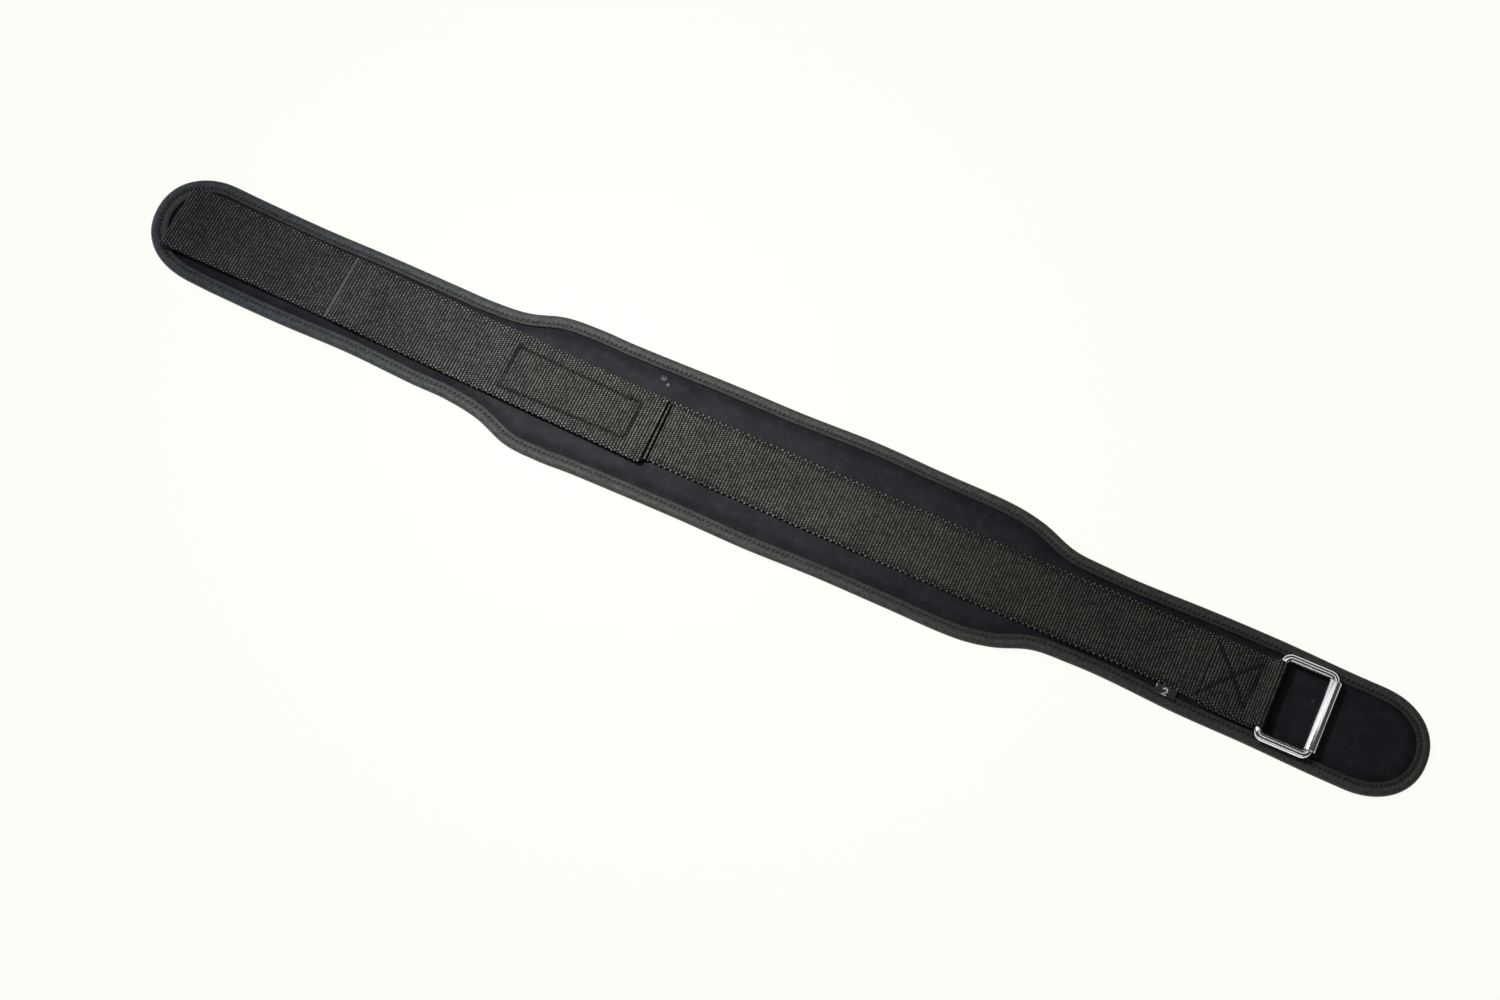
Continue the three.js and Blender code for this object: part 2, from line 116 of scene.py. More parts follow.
# Size label
LABEL_SETBACK = 173
LABEL_WIDTH = 14.6
LABEL_REACH = 5.8
LABEL_TUCK = 0.9  # how far it goes in beneath the strap's edge
LABEL_THICKNESS = 0.7


def table(columns, rows):
    """A table of rows as named columns."""
    return dict(zip(columns, np.array(rows, float).T))


# The belt's form from its left end to its right: at is a share of half the length, flare is 0 at the end
# width and 1 at the back width, and sway is the middle line's side step in end widths
BELT_FORM = table(
    ("at", "flare", "sway"),
    [
        (-1, 0, 0.04),
        (-0.93, 0, 0.037),
        (-0.864, 0.01, 0.019),
        (-0.756, 0, 0.004),
        (-0.648, -0.01, 0.01),
        (-0.54, 0.05, -0.007),
        (-0.486, 0.06, -0.01),
        (-0.432, 0.27, -0.02),
        (-0.378, 0.86, -0.027),
        (-0.324, 0.98, -0.024),
        (-0.27, 0.93, -0.018),
        (-0.108, 0.96, -0.002),
        (0, 0.99, -0.002),
        (0.108, 1, 0.0202),
        (0.216, 0.97, 0.014),
        (0.324, 0.94, 0.01),
        (0.378, 0.64, 0.012),
        (0.432, 0, 0.015),
        (0.486, -0.13, 0.015),
        (0.54, -0.15, 0.013),
        (0.648, -0.02, 0.006),
        (0.756, 0, 0.004),
        (0.864, 0, -0.013),
        (1, 0, -0.012),
    ],
)

# The strap's form from the fold to the bar: side is in strap widths, lean is its skew as a share of the
# fold's, and drawn is 1 where the strap is drawn in to its sewn width
STRAP_FORM = table(
    ("at", "side", "lean", "drawn"),
    [
        (0, 0.061, 1, 0),
        (0.06, 0.053, 0.7, 0),
        (0.155, 0.036, 0.6, 0),
        (0.2, 0.026, 0.1, 1),
        (0.5, -0.03, 0, 1),
        (0.75, -0.037, -0.08, 1),
        (0.9, -0.01, -0.2, 1),
        (0.965, -0.036, -0.3, 0.2),
        (1, -0.038, -BUCKLE_YAW / FOLD_SKEW, 0),
    ],
)

# Sizes and places worked out from the ones above
LAYER = WEBBING + GAP
ON_PAD = PAD_THICKNESS + GAP + WEBBING / 2
ON_STRAP = ON_PAD + LAYER
ON_LAP = ON_STRAP + LAYER
PATCH_Z = ON_PAD + WEBBING / 2 + GAP + PATCH_THICKNESS / 2
ON_PATCH = PATCH_Z + PATCH_THICKNESS / 2 + GAP + WEBBING / 2
HALF_LENGTH = BELT_LENGTH / 2
BINDING_HEIGHT = RIM_THICKNESS + 2 * (BINDING_WALL + GAP)
BAR_RADIUS = WIRE_DIAMETER / 2
BUCKLE_INSIDE = STRAP_WIDTH + BUCKLE_ROOM
LOOP_RADIUS = BAR_RADIUS + BAR_CLEARANCE + WEBBING / 2
ROLLER_BORE = BAR_RADIUS + ROLLER_CLEARANCE
ROLLER_RADIUS = ROLLER_BORE + ROLLER_WALL
BAR_X = HALF_LENGTH - BUCKLE_SETBACK
JOIN_X = BAR_X - BAR_JOIN
RETURN_X = BAR_X - RETURN_LENGTH
LANDING_X = RETURN_X - RETURN_DROP
BUCKLE_Z = PAD_THICKNESS + GAP + max(WEBBING / 2 + LOOP_RADIUS, ROLLER_RADIUS)
FOLD_RADIUS = (FOLD_HEIGHT - WEBBING) / 2
FOLD_X = -HALF_LENGTH + FOLD_SETBACK + FOLD_HEIGHT / 2
LAP_X = -HALF_LENGTH + FOLD_SETBACK + LAP_FROM_FOLD
TIP_X = LAP_X + TAIL_LENGTH
PATCH_X = TIP_X + PATCH_SHOWING - PATCH_LENGTH
LABEL_X = HALF_LENGTH - LABEL_SETBACK

# Camera, at the photograph's angle to the belt
CAMERA_ELEVATION = 75
CAMERA_AZIMUTH = 24.2
CAMERA_LENS = 70
CAMERA_DISTANCE = 1.94
CAMERA_AIM = (-0.0102, -0.0178, 0)


def place_camera():
    e = math.radians(CAMERA_ELEVATION)
    a = math.radians(CAMERA_AZIMUTH)
    back = Vector((math.sin(a) * math.cos(e), -math.cos(a) * math.cos(e), math.sin(e)))
    right = Vector((math.cos(a), math.sin(a), 0))
    up = back.cross(right)
    data = bpy.data.cameras.new("camera")
    data.lens = CAMERA_LENS
    data.sensor_width = 36
    camera = bpy.data.objects.new("camera", data)
    turned = Matrix((right, up, back)).transposed().to_4x4()
    camera.matrix_world = Matrix.Translation(Vector(CAMERA_AIM) + back * CAMERA_DISTANCE) @ turned
    bpy.context.scene.collection.objects.link(camera)
    bpy.context.scene.camera = camera


# Curves and forms


def form_at(rows, column, at):
    """A column of a form table at places along it, on a smooth curve through the rows."""
    places = rows["at"]
    values = rows[column]
    last = len(places) - 1
    i = np.clip(np.searchsorted(places, at), 1, last) - 1
    span = places[i + 1] - places[i]
    t = np.clip((at - places[i]) / span, 0, 1)

    def slope(start, end):
        return (values[end] - values[start]) / (places[end] - places[start])

    leaving = slope(np.maximum(i - 1, 0), i + 1) * span
    arriving = slope(i, np.minimum(i + 2, last)) * span
    share = t * t * (3 - 2 * t)
    straight = values[i] * (1 - share) + values[i + 1] * share
    return straight + t * (1 - t) * (leaving * (1 - t) - arriving * t)


def half_width_at(x):
    flare = form_at(BELT_FORM, "flare", x / HALF_LENGTH)
    return (END_WIDTH + (BACK_WIDTH - END_WIDTH) * flare) / 2


def middle_at(x):
    return END_WIDTH * form_at(BELT_FORM, "sway", x / HALF_LENGTH)


def strap_form_at(x):
    """The strap's side step, skew and width at x."""
    at = (x - FOLD_X) / (BAR_X - FOLD_X)
    drawn = form_at(STRAP_FORM, "drawn", at)
    return {
        "side": STRAP_WIDTH * form_at(STRAP_FORM, "side", at),
        "skew": np.radians(FOLD_SKEW * form_at(STRAP_FORM, "lean", at)),
        "width": STRAP_WIDTH + (SEWN_WIDTH - STRAP_WIDTH) * drawn,
    }


def tail_form_at(x):
    share = (x - LAP_X) / TAIL_LENGTH
    return {
        "side": TAIL_SIDE["lap"] + (TAIL_SIDE["tip"] - TAIL_SIDE["lap"]) * share,
        "skew": np.radians(TAIL_SKEW["lap"] + (TAIL_SKEW["tip"] - TAIL_SKEW["lap"]) * share),
        "width": np.full_like(x, TAIL_WIDTH),
    }


def patch_form_at(x):
    return {
        "side": np.full_like(x, PATCH_SIDE),
        "skew": np.zeros_like(x),
        "width": np.full_like(x, PATCH_WIDTH),
    }


def eased(t):
    t = np.clip(t, 0, 1)
    return t * t * (3 - 2 * t)


def waves(x, y, length, seed, count=9):
    """Soft irregular relief between about -1 and 1, from sine waves in seeded directions."""
    draw = np.random.default_rng(seed)
    total = np.zeros(np.broadcast(x, y).shape)
    for _ in range(count):
        way = draw.uniform(0, 2 * math.pi)
        pitch = length * draw.uniform(0.7, 1.6)
        phase = draw.uniform(0, 2 * math.pi)
        total = total + np.sin((x * math.cos(way) + y * math.sin(way)) * 2 * math.pi / pitch + phase)
    return total / math.sqrt(count)


def straight_run(start, end):
    steps = max(2, math.ceil(math.dist(start, end)))
    return np.linspace(start, end, steps + 1)


def bezier_run(a, b, c, d):
    t = np.linspace(0, 1, 25)[:, None]
    a, b, c, d = (np.array(p, float) for p in (a, b, c, d))
    return a * (1 - t) ** 3 + 3 * b * t * (1 - t) ** 2 + 3 * c * t * t * (1 - t) + d * t**3


def ramp_run(start, end):
    """A run that leaves and arrives level, at another height."""
    middle = (start[0] + end[0]) / 2
    return bezier_run(start, (middle, start[1]), (middle, end[1]), end)


def arc_run(x, z, radius, degrees):
    """Part of a circle from straight below its middle, anticlockwise if degrees is above 0."""
    turn = np.radians(np.linspace(0, degrees, 49) - 90)
    return np.stack([x + radius * np.cos(turn), z + radius * np.sin(turn)], 1)


class Path:
    """A curve in the XZ plane, read by the distance along it."""

    def __init__(self, *runs):
        self.points = np.vstack([runs[0], *(run[1:] for run in runs[1:])])
        steps = np.linalg.norm(np.diff(self.points, axis=0), axis=1)
        self.along = np.concatenate([[0], np.cumsum(steps)])
        self.length = self.along[-1]
        self.way = np.gradient(self.points, self.along, axis=0)

    def at(self, distance):
        """x, z and the unit way along at these distances, which may lie a little past the ends."""
        inside = np.clip(distance, 0, self.length)
        over = distance - inside
        x, z = (np.interp(inside, self.along, self.points[:, i]) for i in (0, 1))
        way_x, way_z = (np.interp(inside, self.along, self.way[:, i]) for i in (0, 1))
        size = np.hypot(way_x, way_z)
        way_x, way_z = way_x / size, way_z / size
        return x + over * way_x, z + over * way_z, way_x, way_z


def loop_path():
    """The strap's end: along the pad, round the bar, back on top and down onto the pad."""
    loop = arc_run(BAR_X, BUCKLE_Z, LOOP_RADIUS, LOOP_WRAP)
    off_bar = loop[-1]
    end = math.radians(LOOP_WRAP - 90)
    way = np.array([-math.sin(end), math.cos(end)])
    reach = (off_bar[0] - JOIN_X) / 2
    onto_strap = bezier_run(off_bar, off_bar + way * reach, (JOIN_X + reach, ON_STRAP), (JOIN_X, ON_STRAP))
    return Path(
        straight_run((STEP_TOP, ON_PAD), (JOIN_X, ON_PAD)),
        ramp_run((JOIN_X, ON_PAD), (BAR_X, BUCKLE_Z - LOOP_RADIUS)),
        loop,
        onto_strap,
        straight_run((JOIN_X, ON_STRAP), (STEP_TOP, ON_STRAP)),
        ramp_run((STEP_TOP, ON_STRAP), (STEP_FOOT, ON_PAD)),
        straight_run((STEP_FOOT, ON_PAD), (LANDING_X - 1.2, ON_PAD - 0.2)),
    )


def sewn_path():
    return Path(straight_run((FOLD_X, ON_PAD), (LANDING_X, ON_PAD)))


def fold_path():
    """The turn at the left end and the first stretch of the tail."""
    return Path(
        arc_run(FOLD_X, ON_PAD + FOLD_RADIUS, FOLD_RADIUS, -180),
        ramp_run((FOLD_X, ON_PAD + 2 * FOLD_RADIUS), (LAP_X, ON_STRAP)),
        straight_run((LAP_X, ON_STRAP), (LAP_X + LAP_LENGTH, ON_STRAP)),
    )


def tail_path():
    lap_end = LAP_X + LAP_LENGTH + LAYER
    return Path(
        straight_run((LAP_X, ON_LAP), (lap_end, ON_LAP)),
        ramp_run((lap_end, ON_LAP), (lap_end + TAIL_RAMP, ON_STRAP)),
        straight_run((lap_end + TAIL_RAMP, ON_STRAP), (PATCH_X - TAIL_RAMP, ON_STRAP)),
        ramp_run((PATCH_X - TAIL_RAMP, ON_STRAP), (PATCH_X - LAYER, ON_PATCH)),
        straight_run((PATCH_X - LAYER, ON_PATCH), (TIP_X, ON_PATCH)),
    )


class Outline:
    """The belt's outline as an anticlockwise loop, read by the distance along it."""

    COUNT = 4000

    def __init__(self):
        straight = HALF_LENGTH - END_ROUND
        turn = np.linspace(0, math.pi / 2, 60)
        end_x = straight + END_ROUND * np.sin(turn) ** (2 / END_POWER)
        end_share = np.cos(turn) ** (2 / END_POWER)
        between = np.linspace(-straight, straight, 500)[1:-1]
        x = np.concatenate([-end_x[::-1], between, end_x])
        share = np.concatenate([end_share[::-1], np.ones_like(between), end_share])
        half = half_width_at(x) * share
        near = np.stack([x, middle_at(x) - half], 1)
        far = np.stack([x, middle_at(x) + half], 1)[::-1]
        loop = np.vstack([near, far[1:]])
        along = np.concatenate([[0], np.cumsum(np.linalg.norm(np.diff(loop, axis=0), axis=1))])
        self.length = along[-1]
        self.step = self.length / self.COUNT
        even = np.arange(self.COUNT) * self.step
        self.points = np.stack([np.interp(even, along, loop[:, i]) for i in (0, 1)], 1)
        way = np.roll(self.points, -3, 0) - np.roll(self.points, 3, 0)
        self.outward = np.stack([way[:, 1], -way[:, 0]], 1) / np.linalg.norm(way, axis=1)[:, None]

    def at(self, distance, inset):
        """Places moved in from the outline, and the outward way there."""
        place = distance / self.step
        low = np.floor(place).astype(int)
        t = (place - low)[..., None]
        low, high = low % self.COUNT, (low + 1) % self.COUNT
        outward = self.outward[low] * (1 - t) + self.outward[high] * t
        outward = outward / np.linalg.norm(outward, axis=-1, keepdims=True)
        points = self.points[low] * (1 - t) + self.points[high] * t
        return points - outward * np.asarray(inset)[..., None], outward

    def depth(self, points):
        """How far each point lies from the outline."""
        found = []
        some = self.points[::4]
        for part in np.array_split(points, max(1, len(points) // 2000)):
            found.append(np.linalg.norm(part[:, None] - some[None], axis=2).min(1))
        return np.concatenate(found)


# Meshes


SHARP_ABOVE = 72  # degrees between faces, as at the straps' cut ends


def grid_faces(rows, columns, wrap_rows=False, wrap_columns=False):
    """Four-sided faces of a grid of points that are listed row by row."""
    r = np.arange(rows if wrap_rows else rows - 1)[:, None]
    c = np.arange(columns if wrap_columns else columns - 1)[None]
    next_r = (r + 1) % rows
    next_c = (c + 1) % columns
    corners = [r * columns + c, next_r * columns + c, next_r * columns + next_c, r * columns + next_c]
    return np.stack(np.broadcast_arrays(*corners), -1).reshape(-1, 4)


def add_mesh(name, points, faces, material, body="belt", slot=None, marks=None):
    """An object from points in millimetres, which rides on a body. marks are named values of its points."""
    mesh = bpy.data.meshes.new(name)
    mesh.from_pydata((np.asarray(points) * MM).tolist(), [], [list(map(int, face)) for face in faces])
    for mark, values in (marks or {}).items():
        mesh.attributes.new(mark, "FLOAT", "POINT").data.foreach_set("value", values.astype(np.float32))
    mesh.materials.append(material)
    mesh.shade_smooth()
    mesh.set_sharp_from_angle(angle=math.radians(SHARP_ABOVE))
    mesh.validate()
    piece = bpy.data.objects.new(name, mesh)
    bpy.context.scene.collection.objects.link(piece)
    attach(piece, body)
    return piece


# Woven webbing: a closed tube of six-sided grains, in ribs whose neighbours are half a grain apart
CORNER_NEAR = 0.43  # where a grain's corners lie, in ribs from its middle
CORNER_FAR = 0.57
GRAIN_SHOULDER = (0.5, 0.68)  # where its sides turn down, as shares of the way to its corners
SHOULDER_HEIGHT = 0.74
THREAD_COVER_AND_SHADE = 0.35  # how much a line of stitches darkens the grains: its dark thread over them, and painted shade in the channel it sinks
EDGE_SEAM = 3.1  # from the sewn strap's edge to its line of stitches
EDGE_REACH = 0.9
EDGE_PITCH = 4.1
# How much the edge seams darken the grains: their thread, and painted shade along the sunk line
EDGE_COVER_AND_SHADE = 0.25
FRAYED_AND_LIT = (0.45, 0.68)  # how pale the tail's cut edge is, where a grain's crest is 1: partly a paler frayed edge, partly painted light on the cut face turned to the light
LOOP_PAINTED_SHADE = 0.7  # how much darker the grains are painted where the strap turns down round the bar, as shade on the side away from the light


class Ribbon:
    """A flat band along a path, with grains standing on its surface."""

    def __init__(self, path, form_at_x, relief=None, thickness=WEBBING):
        self.path = path
        self.form = form_at_x
        self.relief = relief
        self.side_step = None
        self.lines = ()  # of stitches that cover its grains, with painted shade along them
        self.edge_seams = False
        self.frayed_lit_start = False
        self.base = thickness - 2 * GRAIN_HEIGHT
        self.height = GRAIN_HEIGHT
        self.spread_rows()

    def spread_rows(self):
        """Counts the rows of grains round the section, which are longer at the selvedges."""
        middle = np.array([self.path.points[:, 0].mean()])
        flat = float(self.form(middle)["width"][0]) - 2 * self.height - self.base
        bend = math.pi * self.base / 2
        girth = 2 * (flat + bend)
        place = np.linspace(0, girth, 2001)
        from_face = np.abs((place + girth / 4) % (girth / 2) - girth / 4)
        inside = flat / 2 - from_face
        grain = np.where((inside > 0) & (inside < SELVEDGE), SELVEDGE, GRAIN)
        counted = np.concatenate([[0], np.cumsum(np.diff(place) / grain[1:])])
        self.rows = round(counted[-1])
        self.row_shares = counted / counted[-1]
        self.girth_shares = place / girth

    def around(self, share, width):
        """Places round the band's section, as across, through and the outward way, from shares of its rows.
        Share 0 is the middle of the upper face, and it rises towards +Y."""
        flat = width - 2 * self.height - self.base
        bend = math.pi * self.base / 2
        girth = 2 * (flat + bend)
        place = np.interp(share % 1, self.row_shares, self.girth_shares) * girth
        across = np.empty_like(place)
        through = np.empty_like(place)
        out_across = np.zeros_like(place)
        out_through = np.zeros_like(place)
        radius = self.base / 2
        starts = [0 * flat, flat / 2, flat / 2 + bend, 1.5 * flat + bend, 1.5 * flat + 2 * bend]
        for part in range(5):
            end = starts[part + 1] if part < 4 else girth + 1
            here = (place >= starts[part]) & (place < end)
            local = (place - starts[part])[here]
            if part in (1, 3):
                sign = 1 if part == 1 else -1
                turn = local / radius
                out_across[here] = sign * np.sin(turn)
                out_through[here] = sign * np.cos(turn)
                across[here] = sign * flat[here] / 2 + radius * out_across[here]
                through[here] = radius * out_through[here]
            else:
                sign = -1 if part == 2 else 1
                begin = {0: 0 * flat, 2: flat / 2, 4: -flat / 2}[part]
                across[here] = begin[here] + sign * local
                through[here] = sign * radius
                out_through[here] = sign
        return across, through, out_across, out_through

    def place(self, distance, share, lift):
        x, z, way_x, way_z = self.path.at(distance)
        form = self.form(x)
        across, through, out_across, out_through = self.around(share, form["width"])
        across = across + out_across * lift
        through = through + out_through * lift
        at_x = x + across * np.sin(form["skew"]) - through * way_z
        at_y = form["side"] + across * np.cos(form["skew"])
        points = np.stack([at_x, at_y, z + through * way_x], -1)
        up = out_through * way_x
        if self.side_step:
            points[..., 1] += self.side_step(distance)
        if self.relief:
            points[..., 2] += self.relief(points[..., 0], points[..., 1], distance, up)
        return points, up

    def build(self, fine, seed):
        """Points, faces and marks. fine says, from a grain's x and up, whether it is rounded."""
        rows = self.rows
        columns = round(self.path.length / COLUMN)
        pitch = self.path.length / columns
        draw = np.random.default_rng(seed)

        line = np.arange(columns + 1)[:, None]
        row = np.arange(rows)[None]
        line_shift = 0.5 * ((line + 1) % 2)
        near_u, near_v = line - 0.5 + CORNER_NEAR + 0 * row, row + 0.5 + line_shift
        far_u, far_v = line - 0.5 + CORNER_FAR + 0 * row, row + line_shift
        near_at, _ = self.place(near_u * pitch, near_v / rows, 0)
        far_at, _ = self.place(far_u * pitch, far_v / rows, 0)

        column = np.arange(columns)[:, None]
        shift = 0.5 * (column % 2)
        u, v = column + 0.5 + 0 * row, row + shift
        tall = self.height * draw.uniform(0.8, 1.12, u.shape)
        grain_at, up = self.place(u * pitch, v / rows, tall)

        def near(k, r):
            return k * rows + r % rows

        def far(k, r):
            return (columns + 1) * rows + k * rows + r % rows

        first = 2 * (columns + 1) * rows
        c = column + 0 * row
        r = row + 0 * column
        odd = column % 2 + 0 * row
        corners = [far(c + 1, r), near(c + 1, r), far(c, r + odd)]
        corners += [near(c, r - 1 + odd), far(c, r - 1 + odd), near(c + 1, r - 1)]
        corners = np.stack(corners, -1).reshape(-1, 6)
        offsets = [(CORNER_FAR, 0), (CORNER_NEAR, 0.5), (-CORNER_NEAR, 0.5)]
        offsets = np.array(offsets + [(-along, -across) for along, across in offsets])
        rounded = fine(grain_at[..., 0], up).reshape(-1)
        count = rounded.sum()
        flat_u, flat_v, flat_tall = (a.reshape(-1)[rounded] for a in (u, v, tall))
        ring_u = flat_u[:, None] + GRAIN_SHOULDER[0] * offsets[None, :, 0]
        ring_v = flat_v[:, None] + GRAIN_SHOULDER[1] * offsets[None, :, 1]
        lift = np.repeat(flat_tall[:, None] * SHOULDER_HEIGHT, 6, 1)
        ring_at, _ = self.place(ring_u * pitch, ring_v / rows, lift)
        middles = first + np.arange(count)
        rings = first + count + np.arange(6 * count).reshape(-1, 6)

        faces = corners[~rounded].tolist()
        outer = corners[rounded]
        for i in range(6):
            j = (i + 1) % 6
            faces += np.stack([middles, rings[:, i], rings[:, j]], 1).tolist()
            faces += np.stack([rings[:, i], outer[:, i], outer[:, j], rings[:, j]], 1).tolist()
        for line_end in (0, columns):
            edge = [point for r in range(rows) for point in (near(line_end, r - 1), far(line_end, r))]
            faces.append(edge if line_end == 0 else edge[::-1])

        grain_at = grain_at.reshape(-1, 3)[rounded]
        points = np.vstack([near_at.reshape(-1, 3), far_at.reshape(-1, 3), grain_at, ring_at.reshape(-1, 3)])
        bare_and_shade = np.ones(count)
        # Stitch lines darken the grains: their dark thread, and painted shade in the channels they sink
        if self.lines:
            bare_and_shade -= THREAD_COVER_AND_SHADE * np.exp(-(nearest(grain_at[:, 0], grain_at[:, 1], self.lines) ** 2))
        # Painted shade: grains past the bar's middle, on the loop's side turned from the light, are darkened
        bare_and_shade *= 1 - LOOP_PAINTED_SHADE * eased((grain_at[:, 0] - BAR_X - 0.5) / 3)
        # The edge seams darken the grains the same way, with thread and painted shade
        if self.edge_seams:
            form = self.form(grain_at[:, 0])
            inside = form["width"] / 2 - np.abs(grain_at[:, 1] - form["side"])
            bare_and_shade -= EDGE_COVER_AND_SHADE * np.exp(-(((inside - EDGE_SEAM) / EDGE_REACH) ** 2))
        # The weave mark paints shade and light: dark at the grains' corners and cut ends, where shade falls
        # between them, rising to a painted highlight on each crest
        weave = np.concatenate([np.zeros(first), bare_and_shade, np.repeat(SHOULDER_HEIGHT * bare_and_shade, 6)])
        shade = draw.uniform(0, 1, count)
        # A paler frayed edge, and painted light on the cut end's face, which faces the light
        if self.frayed_lit_start:
            shade[flat_u < 1] = 1
            for edge in (0, (columns + 1) * rows):
                weave[edge : edge + rows] = draw.uniform(*FRAYED_AND_LIT, rows)
        tone = np.concatenate([np.full(first, 0.5), shade, np.repeat(shade, 6)])
        return points, faces, {"weave": weave, "tone": tone}


def segment_distance(x, y, start, end):
    """How far points lie from a line between two places."""
    a = np.array(start, float)
    b = np.array(end, float)
    way = b - a
    t = np.clip(((x - a[0]) * way[0] + (y - a[1]) * way[1]) / way.dot(way), 0, 1)
    return np.hypot(x - a[0] - t * way[0], y - a[1] - t * way[1])


def nearest(x, y, lines):
    return np.min([segment_distance(x, y, *line) for line in lines], 0)


# Lines of stitches on the strap and the tail, as pairs of places
X_BOX = [
    ((308.7, 19), (308.7, -20)),
    ((308.7, 19), (326.8, 0.4)),
    ((326.8, 0.4), (340.2, -16.7)),
    ((308.7, -20), (326.8, 0.4)),
    ((326.8, 0.4), (342.7, 16.2)),
    ((342.7, 16.2), (340.2, -16.7)),
]
TAIL_BOX = [
    ((-193, 13), (-101, 10)),
    ((-101, 10), (-103, -16.2)),
    ((-103, -16.2), (-195, -17.6)),
    ((-195, -17.6), (-193, 13)),
]
LAP_SEAM = [((-318.2, 24), (-320.4, -20))]
HEM_SEAM = [((-89.6, 19.5), (-90.8, -27))]


def sunk(x, y, lines, depth, reach):
    return -depth * np.exp(-((nearest(x, y, lines) / reach) ** 2))


UPPER_FROM = 60  # distance along the loop's path past which it lies above the strap's bar
BOX_PITCH = 3.3
TAIL_BOX_PITCH = 3.4
SHORT_PITCH = 2.6  # of the lap's seam and the hem


def loop_relief(x, y, distance, up):
    """Stitches pull the upper layer down, and the cloth between them stays proud."""
    far = nearest(x, y, X_BOX)
    box = eased((x - STEP_TOP) / 3) * eased((346 - x) / 4)
    puff = 0.45 * (1 - np.exp(-((far / 4) ** 2))) * box
    pressed = -0.35 * np.exp(-(((x - STEP_FOOT) / 2.6) ** 2))
    sink = sunk(x, y, X_BOX[1:], 0.8, 1.6) + pressed
    upper = distance > UPPER_FROM
    return np.clip(up, 0, 1) * (np.where(upper, puff, 0) + np.where(upper, 1, 0.6) * sink)


def lower_layer_step(distance):
    """The end beneath the strap lies a little nearer the belt's near edge."""
    return -1.2 * eased((44 - distance) / 10)


def sewn_relief(x, y, distance, up):
    form = strap_form_at(x)
    inside = form["width"] / 2 - np.abs(y - form["side"])
    pull = 0.75 + 0.25 * np.sin(x * 2 * math.pi / EDGE_PITCH)
    stitched = -0.3 * pull * np.exp(-(((inside - EDGE_SEAM) / EDGE_REACH) ** 2))
    swell = 0.12 * waves(x, y, 34, 3)
    return np.clip(up, 0, 1) * (stitched + swell)


def fold_relief(x, y, distance, up):
    loose = eased((distance - 12) / 20) * eased((LAP_X - x) / 30)
    swell = 0.35 + 0.35 * waves(x, y * 0.4, 60, 5)
    return loose * swell + np.clip(up, 0, 1) * sunk(x, y, LAP_SEAM, 0.3, 1.2)


def tail_relief(x, y, distance, up):
    loose = eased((x - LAP_X - 20) / 25) * eased((PATCH_X - x) / 20)
    sway = 0.25 * loose * (1 + waves(x, y * 0.35, 70, 8))
    top = np.clip(up, 0, 1)
    lap = sunk(x, y, LAP_SEAM, 0.3, 1.1)
    hem = sunk(x, y, HEM_SEAM, 0.2, 0.8)
    box = sunk(x, y, TAIL_BOX, 0.45, 1.2)
    return sway + top * (lap + hem + box)


def add_ribbon(node, ribbon, fine, seed, material):
    """A strap that stands for a node."""
    points, faces, marks = ribbon.build(fine, seed)
    piece = add_mesh(node + "_weave", points, faces, material, slot="webbing", marks=marks)
    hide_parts(node)
    width = float(ribbon.form(ribbon.path.points[:, 0])["width"].mean())


def make_straps(webbing):
    def top(x, up):
        return up > -0.8

    def open_top(x, up):
        return (up > 0.1) & (x > TIP_X - 6)

    def near_tip(x, up):
        return (up > 0) & (x > TIP_X - 4)

    loop = Ribbon(loop_path(), strap_form_at, loop_relief)
    loop.side_step = lower_layer_step
    loop.lines = X_BOX[1:]
    sewn = Ribbon(sewn_path(), strap_form_at, sewn_relief)
    sewn.edge_seams = True
    fold = Ribbon(fold_path(), strap_form_at, fold_relief)
    tail = Ribbon(tail_path(), tail_form_at, tail_relief)
    tail.lines = TAIL_BOX
    tail.frayed_lit_start = True
    patch_path = Path(straight_run((PATCH_X, PATCH_Z), (PATCH_X + PATCH_LENGTH, PATCH_Z)))
    patch = Ribbon(patch_path, patch_form_at, thickness=PATCH_THICKNESS)
    add_ribbon("buckle_loop", loop, top, 11, webbing)
    add_ribbon("back_strap", sewn, open_top, 12, webbing)
    add_ribbon("tail_fold", fold, top, 13, webbing)
    add_ribbon("tail_strap", tail, top, 14, webbing)
    add_ribbon("tail_patch", patch, near_tip, 15, webbing)


# Padded body


